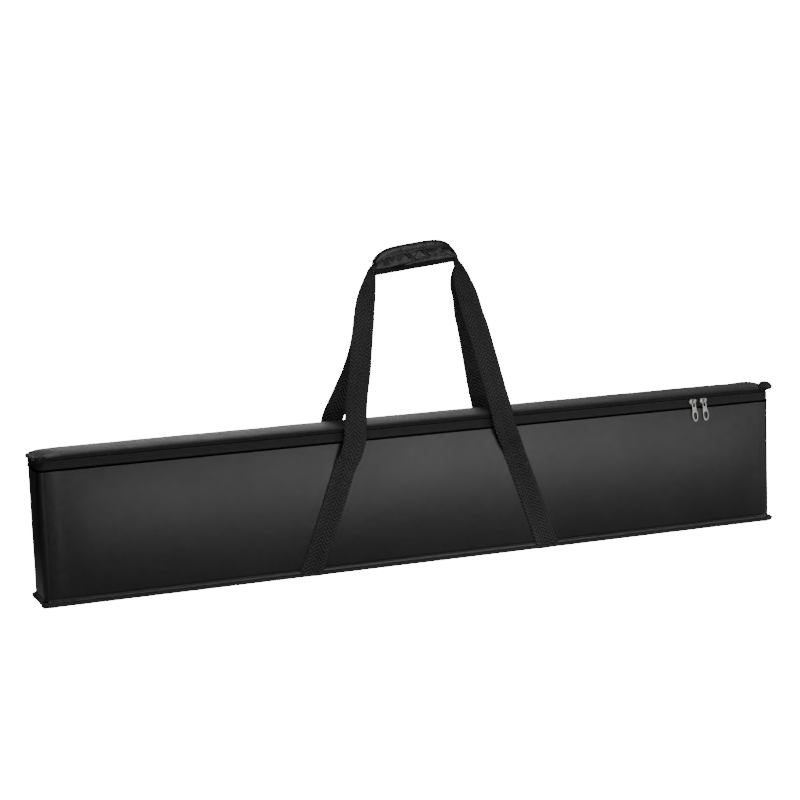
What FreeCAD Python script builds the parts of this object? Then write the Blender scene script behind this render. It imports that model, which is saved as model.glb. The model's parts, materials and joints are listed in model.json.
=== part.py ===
"""Long padded carrying case for drawing gear: a stiffened fabric case with a zip-round lid,
two webbing loops and a padded wrap handle.

Millimetres, +Z up, X along the case, the front wall faces -Y, origin in the middle of the base.
"""
import FreeCAD, Part
import os
import re
import Sketcher

document = FreeCAD.newDocument("carrying_case")
sheet = document.addObject("Spreadsheet::Sheet", "sizes")

DRIVING_SIZES = (
    ("case_length", 1100, "fabric belt, outside, end to end"),
    ("case_depth", 76, "fabric belt, outside, front to back"),
    ("corner_radius", 12, "vertical corners of the belt, outside"),
    ("cloth", 0.8, "outer fabric"),
    ("base_cloth", 1, "fabric under the base"),
    ("board", 4, "stiffening board of the walls and the base"),
    ("lining_cloth", 0.5, "lining fabric"),
    ("seam_height", 184, "top of the belt, where the zip band starts"),
    ("binding_height", 5, "binding tape round the base seam"),
    ("binding_reach", 2.5, "how far a binding stands out of the belt"),
    ("piping_height", 2, "piping in the seam under the zip band"),
    ("piping_reach", 1.2, "how far that piping stands out"),
    ("zip_level", 192, "middle of the closed zip"),
    ("coil_gap", 1.2, "space between the two coils, where the slider posts run"),
    ("coil_height", 1.7, "one coil, up the wall"),
    ("coil_thick", 2, "one coil, through the wall"),
    ("coil_inset", 0.2, "coil face behind the belt face"),
    ("tape", 0.6, "zip tape and hinge band"),
    ("hinge_height", 193, "lid hinge line"),
    ("cord_radius", 1.1, "piping cord on the hinge line"),
    ("turning_gap", 0.3, "clearance round the hinge cord"),
    ("lid_level", 197.5, "underside of the lid board"),
    ("lid_board_thick", 3, "stiffening board of the lid"),
    ("lid_lining_thick", 0.6, "lid lining"),
    ("lid_edge", 1.2, "lid board edge behind the belt face"),
    ("lid_binding_height", 4.2, "binding tape round the lid"),
    ("lid_binding_reach", 2, "how far the lid binding stands out"),
    ("web_width", 32, "webbing"),
    ("web_thick", 1.6, "webbing"),
    ("sewn_top", 150, "top of the webbing that is sewn to the wall"),
    ("sewn_left_low", -182.5, "X of the left sewn webbing at the base seam"),
    ("sewn_left_high", -125.5, "X of the left sewn webbing at its top"),
    ("sewn_right_low", 180.2, "X of the right sewn webbing at the base seam"),
    ("sewn_right_high", 127.8, "X of the right sewn webbing at its top"),
    ("tack_height", 24, "stitched patch at the top of the sewn webbing"),
    ("tack_width", 24, "width of that patch"),
    ("tack_inset", 3, "plain webbing left above that patch"),
    ("tack_thread", 0.3, "thread of that patch"),
    ("loop_line", 150.8, "height of the line that a loop folds on"),
    ("loop_reach", 41, "that line's distance from the middle of the case"),
    ("leg_foot", 151.6, "height where a loop leaves the wall"),
    ("leg_clear", 163, "height where it has cleared the wall"),
    ("leg_crease", 203, "height beside the lid binding"),
    ("leg_middle", 242, "height above the lid"),
    ("leg_neck", 372, "height where it narrows to the handle"),
    ("clear_reach", 45.4, "a leg from the middle of the case, at leg_clear"),
    ("crease_reach", 45.6, "a leg from the middle of the case, at leg_crease"),
    ("middle_reach", 37, "a leg from the middle of the case, at leg_middle"),
    ("neck_reach", 8.5, "a leg from the middle of the case, at leg_neck"),
    ("neck_width", 30, "a leg at leg_neck"),
    ("front_left_clear", -119, "X of the front left leg at leg_clear"),
    ("front_left_crease", -110, "X of the front left leg at leg_crease"),
    ("front_left_middle", -103.3, "X of the front left leg at leg_middle"),
    ("front_left_neck", -75, "X of the front left leg at leg_neck"),
    ("back_left_clear", -121, "X of the back left leg at leg_clear"),
    ("back_left_crease", -113, "X of the back left leg at leg_crease"),
    ("back_left_middle", -97.5, "X of the back left leg at leg_middle"),
    ("back_left_neck", -68.5, "X of the back left leg at leg_neck"),
    ("front_right_clear", 122.4, "X of the front right leg at leg_clear"),
    ("front_right_crease", 110.6, "X of the front right leg at leg_crease"),
    ("front_right_middle", 103.8, "X of the front right leg at leg_middle"),
    ("front_right_neck", 78, "X of the front right leg at leg_neck"),
    ("back_right_clear", 126.5, "X of the back right leg at leg_clear"),
    ("back_right_crease", 118, "X of the back right leg at leg_crease"),
    ("back_right_middle", 107.5, "X of the back right leg at leg_middle"),
    ("back_right_neck", 76.5, "X of the back right leg at leg_neck"),
    ("left_top_middle", -64.3, "X of the top of a left leg"),
    ("left_top_height", 407.1, "top of a left leg"),
    ("right_top_middle", 69.2, "X of the top of a right leg"),
    ("right_top_height", 420.9, "top of a right leg"),
    ("folded_width", 13, "webbing folded into the handle"),
    ("folded_thick", 3.2, "webbing folded into the handle"),
    ("half_gap", 0.3, "half the gap between the two halves of the handle"),
    ("wrap_length", 120, "padded handle wrap"),
    ("wrap_thick", 9, "one half of the wrap, front to back"),
    ("wrap_left_height", 20, "wrap height at its left end"),
    ("wrap_middle_height", 37, "wrap height in the middle"),
    ("wrap_right_height", 27, "wrap height at its right end"),
    ("wrap_bevel", 3, "bevel of the wrap's outer edges"),
    ("wrap_middle", 2.3, "X of the middle of the wrap"),
    ("wrap_low", 412.1, "height of the underside of the wrap in its middle"),
    ("wrap_tilt", 5.9, "tilt of the wrap, right end up, degrees"),
    ("grip_low", 3, "folded webbing above the underside of the wrap"),
    ("grip_high", 16, "folded webbing, height inside the wrap"),
    ("grip_end", 14, "folded webbing beyond each end of the wrap"),
    ("strip_width", 9, "hook and loop strip on the wrap flap"),
    ("strip_thick", 0.8, "hook and loop strip on the wrap flap"),
    ("left_slider_middle", 419.8, "X of the left slider, closed"),
    ("right_slider_middle", 437.3, "X of the right slider, closed"),
    ("slider_length", 11.5, "slider along the zip"),
    ("slider_height", 9.2, "slider across the zip"),
    ("slider_plate", 1.3, "front and back plates of a slider"),
    ("slider_play", 0.3, "play between a slider plate and the coils"),
    ("post_length", 6, "post that joins the slider plates"),
    ("post_height", 0.6, "post that joins the slider plates"),
    ("bridge_width", 2.4, "bridge that holds the pull tab"),
    ("bridge_height", 6.4, "bridge that holds the pull tab"),
    ("bridge_room", 2.2, "room for the pull tab's bar under the bridge"),
    ("bridge_wall", 1, "bar of the bridge"),
    ("pull_line", 190.5, "height of the line that a pull tab swings on"),
    ("pull_thick", 1.2, "pull tab"),
    ("pull_width", 9, "pull tab"),
    ("pull_length", 28, "pull tab, from its bar to its tip"),
    ("pull_point", 3.5, "length of the tapered tip"),
    ("window_width", 3.6, "window that the bridge passes through"),
    ("window_height", 6, "window that the bridge passes through"),
    ("hole_width", 4.6, "finger hole in the tab"),
    ("hole_high", 13.5, "top of the finger hole, below the bar"),
    ("hole_low", 24.5, "bottom of the finger hole, below the bar"),
    ("garage_width", 8, "fabric tab that covers a zip end"),
    ("garage_height", 6, "fabric tab that covers a zip end"),
)

ALIASES = {alias for alias, value, note in DRIVING_SIZES}
for row, (alias, value, note) in enumerate(DRIVING_SIZES, start=1):
    sheet.set(f"A{row}", note)
    sheet.set(f"B{row}", str(value))
    sheet.setAlias(f"B{row}", alias)
document.recompute()

BACK = 1
FRONT = -1
NODES = []


def formula(text):
    """Returns an expression in which every size name points at its cell."""
    return re.sub(r"[a-z_]+", lambda word: "sizes." + word[0] if word[0] in ALIASES else word[0], str(text))


def bind(owner, values):
    """Binds properties of an object to formulas of the sizes."""
    for name, text in values.items():
        owner.setExpression(name, formula(text))


def node(owner):
    """Counts an object as one sub-part of the case."""
    NODES.append(owner)
    return owner


def new_body(label):
    body = document.addObject("PartDesign::Body", label)
    body.Label = label
    return body


def new_sketch(body, name, role, x="0", y="0", z="0"):
    """Adds a sketch on an origin plane of its body, shifted in the plane's own axes."""
    sketch = body.newObject("Sketcher::SketchObject", name)
    plane = next(item for item in body.Origin.OriginFeatures if item.Role == role)
    sketch.AttachmentSupport = [(plane, "")]
    sketch.MapMode = "FlatFace"
    offset = {"AttachmentOffset.Base.x": x, "AttachmentOffset.Base.y": y, "AttachmentOffset.Base.z": z}
    bind(sketch, {key: text for key, text in offset.items() if text != "0"})
    return sketch


def pad(body, sketch, name, length, reverse=False):
    feature = body.newObject("PartDesign::Pad", name)
    feature.Profile = sketch
    feature.Reversed = reverse
    bind(feature, {"Length": length})
    sketch.Visibility = False
    body.Tip = feature
    return feature


def limit(sketch, constraint, text, name):
    """Adds a dimension to a sketch, named and bound to a formula."""
    index = sketch.addConstraint(constraint)
    sketch.renameConstraint(index, name)
    bind(sketch, {f"Constraints.{name}": text})


def point(x, y):
    return FreeCAD.Vector(x, y, 0)


def draw_rounded_rectangle(sketch, prefix, length, depth, radius):
    """Draws a rounded rectangle about the sketch's origin."""
    half_x, half_y, corner = 40.0, 30.0, 5.0
    first = sketch.GeometryCount
    inner_x, inner_y = half_x - corner, half_y - corner
    quarter = FreeCAD.Units.Quantity("90 deg").getValueAs("rad").Value
    sides = (
        (point(inner_x, half_y), point(-inner_x, half_y), point(-inner_x, inner_y), 1),
        (point(-half_x, inner_y), point(-half_x, -inner_y), point(-inner_x, -inner_y), 2),
        (point(-inner_x, -half_y), point(inner_x, -half_y), point(inner_x, -inner_y), 3),
        (point(half_x, -inner_y), point(half_x, inner_y), point(inner_x, inner_y), 0),
    )
    for start, end, centre, turns in sides:
        sketch.addGeometry(Part.LineSegment(start, end))
        circle = Part.Circle(centre, FreeCAD.Vector(0, 0, 1), corner)
        sketch.addGeometry(Part.ArcOfCircle(circle, turns * quarter, (turns + 1) * quarter))
    for index in range(4):
        line, arc, following = first + 2 * index, first + 2 * index + 1, first + (2 * index + 2) % 8
        direction = "Horizontal" if index % 2 == 0 else "Vertical"
        sketch.addConstraint(Sketcher.Constraint(direction, line))
        sketch.addConstraint(Sketcher.Constraint("Tangent", line, 2, arc, 1))
        sketch.addConstraint(Sketcher.Constraint("Tangent", arc, 2, following, 1))
    for index in range(1, 4):
        sketch.addConstraint(Sketcher.Constraint("Equal", first + 1, first + 2 * index + 1))
    top, left, bottom, right = (first + 2 * index for index in range(4))
    sketch.addConstraint(Sketcher.Constraint("Symmetric", top, 1, bottom, 1, -1, 1))
    limit(sketch, Sketcher.Constraint("DistanceX", left, 1, right, 1, 2 * half_x), length, prefix + "Length")
    limit(sketch, Sketcher.Constraint("DistanceY", bottom, 1, top, 1, 2 * half_y), depth, prefix + "Depth")
    limit(sketch, Sketcher.Constraint("Radius", first + 1, corner), radius, prefix + "Radius")


def draw_outline(sketch, prefix, inset):
    """Draws the plan outline of the belt, moved inwards by an inset."""
    draw_rounded_rectangle(sketch, prefix, f"case_length - 2 * ({inset})", f"case_depth - 2 * ({inset})",
                           f"corner_radius - ({inset})")


def plate(label, inset, bottom, height):
    """A flat panel with the plan shape of the case."""
    body = new_body(label)
    sketch = new_sketch(body, label + "_plan", "XY_Plane", z=bottom)
    draw_outline(sketch, "Outer", inset)
    pad(body, sketch, label + "_pad", height)
    return node(body)


def plan_wall(label, inset, wall, bottom, height):
    """A thin wall that follows the plan shape of the case all the way round."""
    body = new_body(label)
    sketch = new_sketch(body, label + "_plan", "XY_Plane", z=bottom)
    draw_outline(sketch, "Outer", inset)
    draw_outline(sketch, "Inner", f"({inset}) + ({wall})")
    pad(body, sketch, label + "_pad", height)
    return body


def ring(label, inset, wall, bottom, height):
    """A sub-part that is such a wall."""
    return node(plan_wall(label, inset, wall, bottom, height))


def draw_box(sketch, low_x, high_x, low_y, high_y):
    """Draws a rectangle between four limits measured from the sketch's origin."""
    corners = (point(-5, -5), point(5, -5), point(5, 5), point(-5, 5))
    for index in range(4):
        sketch.addGeometry(Part.LineSegment(corners[index], corners[(index + 1) % 4]))
    for index in range(4):
        sketch.addConstraint(Sketcher.Constraint("Coincident", index, 2, (index + 1) % 4, 1))
        direction = "Horizontal" if index % 2 == 0 else "Vertical"
        sketch.addConstraint(Sketcher.Constraint(direction, index))
    limit(sketch, Sketcher.Constraint("DistanceX", -1, 1, 0, 1, -5), low_x, "LowX")
    limit(sketch, Sketcher.Constraint("DistanceX", -1, 1, 1, 1, 5), high_x, "HighX")
    limit(sketch, Sketcher.Constraint("DistanceY", -1, 1, 0, 1, -5), low_y, "LowY")
    limit(sketch, Sketcher.Constraint("DistanceY", -1, 1, 2, 1, 5), high_y, "HighY")


def cut_away(body, low_x, high_x, low_y, high_y):
    """Removes a rectangle of the plan from a body, right through its height."""
    document.recompute()
    before = body.Shape.Volume
    sketch = new_sketch(body, body.Label + "_cut", "XY_Plane")
    draw_box(sketch, low_x, high_x, low_y, high_y)
    pocket = body.newObject("PartDesign::Pocket", body.Label + "_pocket")
    pocket.Profile = sketch
    pocket.Type = "ThroughAll"
    pocket.Midplane = True
    sketch.Visibility = False
    body.Tip = pocket
    document.recompute()
    assert body.Shape.Volume < before - 1, f"{body.Label}: the pocket cuts nothing"


def keep_front_run(body):
    """Keeps the stretch that the zip runs along: the front and both ends, up to the back corners."""
    cut_away(body, "-case_length", "case_length", "case_depth / 2 - corner_radius", "case_depth")


def block(label, size, place):
    """A plain box with its size and low corner bound to formulas."""
    box = document.addObject("Part::Box", label)
    box.Label = label
    bind(box, dict(zip(("Length", "Width", "Height"), size)))
    bind(box, dict(zip(("Placement.Base.x", "Placement.Base.y", "Placement.Base.z"), place)))
    return box


def group(label, members, kind="Part::Compound"):
    """Joins separate solids in one sub-part, or fuses them when kind is a fusion."""
    joined = document.addObject(kind, label)
    joined.Label = label
    setattr(joined, "Links" if kind == "Part::Compound" else "Shapes", members)
    return joined


def wall_corners(label, inset, wall, bottom, height, side):
    """The two corners of a thin wall that follows the plan outline, at the front or at the back."""
    body = plan_wall(label + "_corners", inset, wall, bottom, height)
    straight = "case_length / 2 - corner_radius"
    cut_away(body, f"-({straight})", straight, "-case_depth", "case_depth")
    limits = ["-case_depth", "case_depth"]
    limits[0 if side == FRONT else 1] = f"{side} * (case_depth / 2 - corner_radius)"
    cut_away(body, "-case_length", "case_length", *limits)
    return body


def long_run(label, inset, wall, bottom, height, side):
    """The straight of a thin wall along the front or the back."""
    low_y = f"-case_depth / 2 + {inset}" if side == FRONT else f"case_depth / 2 - ({inset}) - ({wall})"
    return block(label + "_long_run", ("case_length - 2 * corner_radius", wall, height),
                 ("-case_length / 2 + corner_radius", low_y, bottom))


def zip_wall(label, inset, wall, bottom, height):
    """A tape along the front and both ends: straights and corners, stitched end to end."""
    end_size = (wall, "case_depth - 2 * corner_radius", height)
    low_y = "-case_depth / 2 + corner_radius"
    left = block(label + "_left_run", end_size, (f"-case_length / 2 + {inset}", low_y, bottom))
    right = block(label + "_right_run", end_size, (f"case_length / 2 - ({inset}) - ({wall})", low_y, bottom))
    front = long_run(label, inset, wall, bottom, height, FRONT)
    corners = wall_corners(label, inset, wall, bottom, height, FRONT)
    node(group(label, [left, front, right, corners]))


def hinge_wall(label, wall, bottom, height):
    """A band along the back: its straight and both back corners."""
    straight = long_run(label, "0", wall, bottom, height, BACK)
    node(group(label, [straight, wall_corners(label, "0", wall, bottom, height, BACK)]))


def make_case():
    """The fixed body: base, walls, lining, zip band and the back hinge."""
    wall_foot = "base_cloth + board"
    wall_height = f"seam_height - ({wall_foot})"
    plate("bottom_cover", "0", "0", "base_cloth")
    ring("bottom_binding", "-binding_reach", "binding_reach", "0", "binding_height")
    plate("bottom_board", "cloth", "base_cloth", "board")
    ring("outer_wrap", "0", "cloth", "base_cloth", "seam_height - base_cloth")
    flat_length = "case_length - 2 * corner_radius"
    for label, low_y in (("front_board", "-case_depth / 2 + cloth"),
                         ("back_board", "case_depth / 2 - cloth - board")):
        node(block(label, (flat_length, "board", wall_height),
                   ("-case_length / 2 + corner_radius", low_y, wall_foot)))
    for label, low_x, high_x in (
            ("left_end_board", "-case_length / 2 + corner_radius", "case_length"),
            ("right_end_board", "-case_length", "case_length / 2 - corner_radius")):
        end = ring(label, "cloth", "board", wall_foot, wall_height)
        cut_away(end, low_x, high_x, "-case_depth", "case_depth")
    make_lining(wall_foot, wall_height)
    ring("rim_piping", "-piping_reach", "piping_reach", "seam_height - piping_height", "piping_height")
    coil_foot = "zip_level - coil_gap / 2 - coil_height"
    tape_inset = "coil_inset + (coil_thick - tape) / 2"
    zip_wall("body_zip_tape", tape_inset, "tape", "seam_height", f"{coil_foot} - seam_height")
    keep_front_run(ring("body_zip_coil", "coil_inset", "coil_thick", coil_foot, "coil_height"))
    hinge_wall("hinge_band", "tape", "seam_height", "hinge_height - cord_radius - seam_height")
    make_hinge_cord()
    make_zip_garages()


def make_lining(foot, height):
    """The lining, an open tub inside the boards."""
    body = new_body("lining")
    sketch = new_sketch(body, "lining_plan", "XY_Plane", z=foot)
    draw_outline(sketch, "Outer", "cloth + board")
    pad(body, sketch, "lining_pad", height)
    document.recompute()
    before = body.Shape.Volume
    room = new_sketch(body, "lining_room", "XY_Plane", z=f"{foot} + lining_cloth")
    draw_outline(room, "Inner", "cloth + board + lining_cloth")
    pocket = body.newObject("PartDesign::Pocket", "lining_pocket")
    pocket.Profile = room
    pocket.Reversed = True
    bind(pocket, {"Length": height})
    room.Visibility = False
    body.Tip = pocket
    document.recompute()
    assert body.Shape.Volume < before / 10, "lining: the pocket cuts nothing"
    node(body)


def make_hinge_cord():
    """The piping cord that the lid turns on, along the straight of the back edge."""
    cord = document.addObject("Part::Cylinder", "hinge_cord")
    cord.Label = "hinge_cord"
    bind(cord, {"Radius": "cord_radius", "Height": "case_length - 2 * corner_radius"})
    cord.Placement.Rotation = FreeCAD.Rotation(FreeCAD.Vector(0, 1, 0), 90)
    bind(cord, {"Placement.Base.x": "-case_length / 2 + corner_radius",
                "Placement.Base.y": "case_depth / 2 - tape", "Placement.Base.z": "hinge_height"})
    node(cord)


def make_zip_garages():
    """The fabric tabs that cover both ends of the zip, on the case side."""
    low_z = "zip_level - coil_gap / 2 - garage_height"
    low_y = "case_depth / 2 - corner_radius - garage_width"
    left = block("left_garage", ("tape", "garage_width", "garage_height"),
                 ("-case_length / 2 - tape", low_y, low_z))
    right = block("right_garage", ("tape", "garage_width", "garage_height"),
                  ("case_length / 2", low_y, low_z))
    node(group("zip_end_tabs", [left, right]))


def make_sewn_webbing(side_name, side):
    """The two leaning lengths of webbing sewn to a wall, and the patches at their tops."""
    patches = []
    for hand in ("left", "right"):
        low, high = f"sewn_{hand}_low", f"sewn_{hand}_high"
        label = f"{side_name}_{hand}_webbing"
        body = new_body(label)
        sketch = new_sketch(body, label + "_face", "XZ_Plane", z=f"{-side} * case_depth / 2")
        draw_leaning_strip(sketch, low, high, "web_width", "binding_height", "sewn_top")
        pad(body, sketch, label + "_pad", "web_thick", reverse=side == BACK)
        node(body)
        patch = new_body(f"{side_name}_{hand}_tack")
        sketch = new_sketch(patch, patch.Label + "_face", "XZ_Plane",
                            z=f"{-side} * (case_depth / 2 + web_thick)")
        part_way = f"({high}) + (({low}) - ({high})) * tack_height / (sewn_top - binding_height)"
        draw_leaning_strip(sketch, part_way, high, "tack_width", "sewn_top - tack_height",
                           "sewn_top - tack_inset")
        pad(patch, sketch, patch.Label + "_pad", "tack_thread", reverse=side == BACK)
        patches.append(patch)
    return patches


def draw_leaning_strip(sketch, low_middle, high_middle, width, low_z, high_z):
    """Draws a strip with level ends whose two middles are given."""
    corners = (point(-5, 0), point(5, 0), point(6, 10), point(-4, 10))
    for index in range(4):
        sketch.addGeometry(Part.LineSegment(corners[index], corners[(index + 1) % 4]))
    for index in range(4):
        sketch.addConstraint(Sketcher.Constraint("Coincident", index, 2, (index + 1) % 4, 1))
    sketch.addConstraint(Sketcher.Constraint("Horizontal", 0))
    sketch.addConstraint(Sketcher.Constraint("Horizontal", 2))
    limit(sketch, Sketcher.Constraint("DistanceX", 0, 1, 0, 2, 10), width, "LowWidth")
    limit(sketch, Sketcher.Constraint("DistanceX", 2, 2, 2, 1, 10), width, "HighWidth")
    low_x, high_x = f"({low_middle}) - ({width}) / 2", f"({high_middle}) - ({width}) / 2"
    limit(sketch, Sketcher.Constraint("DistanceX", -1, 1, 0, 1, -5), low_x, "LowX")
    limit(sketch, Sketcher.Constraint("DistanceX", -1, 1, 2, 2, -4), high_x, "HighX")
    limit(sketch, Sketcher.Constraint("DistanceY", -1, 1, 0, 1, 0), low_z, "LowZ")
    limit(sketch, Sketcher.Constraint("DistanceY", -1, 1, 2, 2, 10), high_z, "HighZ")


def make_lid():
    """The lid: cover, board, lining, binding, its half of the zip and of the hinge."""
    coil_foot = "zip_level + coil_gap / 2"
    coil_top = f"{coil_foot} + coil_height"
    tape_inset = "coil_inset + (coil_thick - tape) / 2"
    keep_front_run(ring("lid_zip_coil", "coil_inset", "coil_thick", coil_foot, "coil_height"))
    zip_wall("lid_zip_tape", tape_inset, "tape", coil_top, f"lid_level - ({coil_top})")
    band_foot = "hinge_height + cord_radius + turning_gap"
    hinge_wall("lid_hinge_band", "tape", band_foot, f"lid_level - ({band_foot})")
    plate("lid_lining", "lid_edge + coil_thick", "lid_level - lid_lining_thick", "lid_lining_thick")
    plate("lid_board", "lid_edge", "lid_level", "lid_board_thick")
    plate("lid_cover", "lid_edge", "lid_level + lid_board_thick", "cloth")
    ring("lid_binding", "-lid_binding_reach", "lid_binding_reach + lid_edge", "lid_level",
         "lid_binding_height")


LEG_STATIONS = {
    # name: height, distance of the webbing from the middle plane, width, thickness
    "foot": ("leg_foot", "loop_reach", "web_width", "web_thick"),
    "clear": ("leg_clear", "clear_reach", "web_width + 1", "web_thick"),
    "crease": ("leg_crease", "crease_reach", "web_width + 1", "web_thick"),
    "middle": ("leg_middle", "middle_reach", "web_width", "web_thick"),
    "neck": ("leg_neck", "neck_reach", "neck_width", "web_thick"),
}


def make_leg(side_name, side, hand):
    """One leg of a loop: webbing that leaves the wall, clears the zip and rises to the handle."""
    label = f"{side_name}_{hand}_leg"
    body = new_body(label)
    sections = []
    stations = [(name, f"{side_name}_{hand}_{name}") + sizes for name, sizes in LEG_STATIONS.items()]
    stations[0] = ("foot", f"sewn_{hand}_high") + LEG_STATIONS["foot"]
    stations.append(("top", f"{hand}_top_middle", f"{hand}_top_height", "half_gap + folded_thick / 2",
                     "folded_width", "folded_thick"))
    for name, middle, height, reach, width, thick in stations:
        sketch = new_sketch(body, f"{label}_{name}", "XY_Plane", middle, f"{side} * ({reach})", height)
        draw_box(sketch, f"-({width}) / 2", f"({width}) / 2", f"-({thick}) / 2", f"({thick}) / 2")
        sketch.Visibility = False
        sections.append(sketch)
    loft = body.newObject("PartDesign::AdditiveLoft", label + "_loft")
    loft.Profile = sections[0]
    loft.Sections = sections[1:]
    loft.Ruled = True
    body.Tip = loft
    node(body)


def place_on_wrap(body):
    """Tilts a body about the middle of the underside of the wrap."""
    body.Placement.Rotation = FreeCAD.Rotation(FreeCAD.Vector(0, -1, 0), sheet.get("wrap_tilt"))
    bind(body, {"Placement.Rotation.Angle": "wrap_tilt * 1 deg", "Placement.Base.x": "wrap_middle",
                "Placement.Base.z": "wrap_low"})


def draw_wrap(sketch):
    """Draws the side view of the wrap: a straight underside and a crowned top."""
    low_left, low_right = point(-60, 0), point(60, 0)
    high_left, crown, high_right = point(-60, 20), point(0, 37), point(60, 27)
    sketch.addGeometry(Part.LineSegment(low_left, low_right))
    sketch.addGeometry(Part.LineSegment(low_right, high_right))
    sketch.addGeometry(Part.Arc(high_right, crown, high_left))
    sketch.addGeometry(Part.LineSegment(high_left, low_left))
    arc_start = 1 if sketch.getPoint(2, 1).distanceToPoint(high_right) < 1 else 2
    sketch.addConstraint(Sketcher.Constraint("Coincident", 0, 2, 1, 1))
    sketch.addConstraint(Sketcher.Constraint("Coincident", 1, 2, 2, arc_start))
    sketch.addConstraint(Sketcher.Constraint("Coincident", 2, 3 - arc_start, 3, 1))
    sketch.addConstraint(Sketcher.Constraint("Coincident", 3, 2, 0, 1))
    sketch.addConstraint(Sketcher.Constraint("Horizontal", 0))
    sketch.addConstraint(Sketcher.Constraint("Vertical", 1))
    sketch.addConstraint(Sketcher.Constraint("Vertical", 3))
    sketch.addConstraint(Sketcher.Constraint("PointOnObject", 0, 1, -1))
    crown_point = sketch.addGeometry(Part.Point(crown), True)
    sketch.addConstraint(Sketcher.Constraint("PointOnObject", crown_point, 1, 2))
    sketch.addConstraint(Sketcher.Constraint("PointOnObject", crown_point, 1, -2))
    limit(sketch, Sketcher.Constraint("DistanceX", -1, 1, 0, 2, 60), "wrap_length / 2", "RightEnd")
    limit(sketch, Sketcher.Constraint("DistanceX", 0, 1, 0, 2, 120), "wrap_length", "WholeLength")
    limit(sketch, Sketcher.Constraint("DistanceY", 1, 1, 1, 2, 27), "wrap_right_height", "RightHeight")
    limit(sketch, Sketcher.Constraint("DistanceY", 3, 2, 3, 1, 20), "wrap_left_height", "LeftHeight")
    limit(sketch, Sketcher.Constraint("DistanceY", -1, 1, crown_point, 1, 37), "wrap_middle_height", "Crown")


def make_handle_half(side_name, side):
    """One half of the padded handle: folded webbing, padded wrap and its fastening strip."""
    label = f"{side_name}_wrap"
    body = new_body(label)
    nearest_face = {FRONT: "half_gap", BACK: "-half_gap - wrap_thick"}[side]
    sketch = new_sketch(body, label + "_side", "XZ_Plane", z=nearest_face)
    draw_wrap(sketch)
    solid = pad(body, sketch, label + "_pad", "wrap_thick")
    document.recompute()
    outer = [f"Edge{index}" for index, edge in enumerate(body.Shape.Edges, start=1)
             if abs(edge.CenterOfMass.y) > sheet.get("wrap_thick")]
    bevel = body.newObject("PartDesign::Chamfer", label + "_bevel")
    bevel.Base = (solid, outer)
    bind(bevel, {"Size": "wrap_bevel"})
    body.Tip = bevel
    document.recompute()
    before = body.Shape.Volume
    room = new_sketch(body, label + "_room", "XZ_Plane", z=f"{-side} * half_gap")
    draw_box(room, "-wrap_length", "wrap_length", "grip_low", "grip_low + grip_high")
    pocket = body.newObject("PartDesign::Pocket", label + "_pocket")
    pocket.Profile = room
    pocket.Reversed = side == FRONT
    bind(pocket, {"Length": "folded_thick"})
    room.Visibility = False
    body.Tip = pocket
    document.recompute()
    assert body.Shape.Volume < before - 1, f"{label}: the pocket cuts nothing"
    place_on_wrap(node(body))
    make_grip(side_name, side)
    make_strip(side_name, side)


def make_grip(side_name, side):
    """The folded webbing that runs through a half of the wrap."""
    body = new_body(f"{side_name}_grip_webbing")
    sketch = new_sketch(body, body.Label + "_side", "XZ_Plane", z=f"{-side} * half_gap")
    reach = "wrap_length / 2 + grip_end"
    draw_box(sketch, f"-({reach})", reach, "grip_low", "grip_low + grip_high")
    pad(body, sketch, body.Label + "_pad", "folded_thick", reverse=side == BACK)
    place_on_wrap(node(body))


def make_strip(side_name, side):
    """The hook or loop strip along the top of a wrap half, outside the padding."""
    label = "hook_strip" if side == FRONT else "loop_strip"
    body = new_body(label)
    sketch = new_sketch(body, label + "_side", "XZ_Plane", z=f"{-side} * (half_gap + wrap_thick)")
    draw_box(sketch, "-wrap_length / 4", "wrap_length / 4", "wrap_left_height - strip_width / 2",
             "wrap_left_height + strip_width / 2")
    pad(body, sketch, label + "_pad", "strip_thick", reverse=side == BACK)
    place_on_wrap(node(body))


def make_slider(hand):
    """A slider: front and back plates, the post between the coils, and the bridge."""
    middle = f"{hand}_slider_middle"
    coil_front = "-case_depth / 2 + coil_inset"
    front_face = f"{coil_front} - slider_play - slider_plate"
    back_face = f"{coil_front} + coil_thick + slider_play"
    low_x, low_z = f"{middle} - slider_length / 2", "zip_level - slider_height / 2"
    plate_size = ("slider_length", "slider_plate", "slider_height")
    front = block(f"{hand}_front_plate", plate_size, (low_x, front_face, low_z))
    back = block(f"{hand}_back_plate", plate_size, (low_x, back_face, low_z))
    post = block(f"{hand}_post", ("post_length", "coil_thick + 2 * slider_play", "post_height"),
                 (f"{middle} - post_length / 2", f"{coil_front} - slider_play",
                  "zip_level - post_height / 2"))
    node(group(f"{hand}_slider", [front, back, post], "Part::MultiFuse"))
    bridge_foot = "pull_line - bridge_wall - bridge_room / 2"
    outer = block(f"{hand}_bridge_block", ("bridge_width", "bridge_room + bridge_wall", "bridge_height"),
                  (f"{middle} - bridge_width / 2", f"{front_face} - bridge_room - bridge_wall", bridge_foot))
    room_size = ("bridge_width", "bridge_room", "bridge_height - 2 * bridge_wall")
    room_corner = (f"{middle} - bridge_width / 2", f"{front_face} - bridge_room",
                   f"{bridge_foot} + bridge_wall")
    inner = block(f"{hand}_bridge_room", room_size, room_corner)
    bridge = document.addObject("Part::Cut", f"{hand}_bridge")
    bridge.Label = f"{hand}_bridge"
    bridge.Base = outer
    bridge.Tool = inner
    node(bridge)


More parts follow.
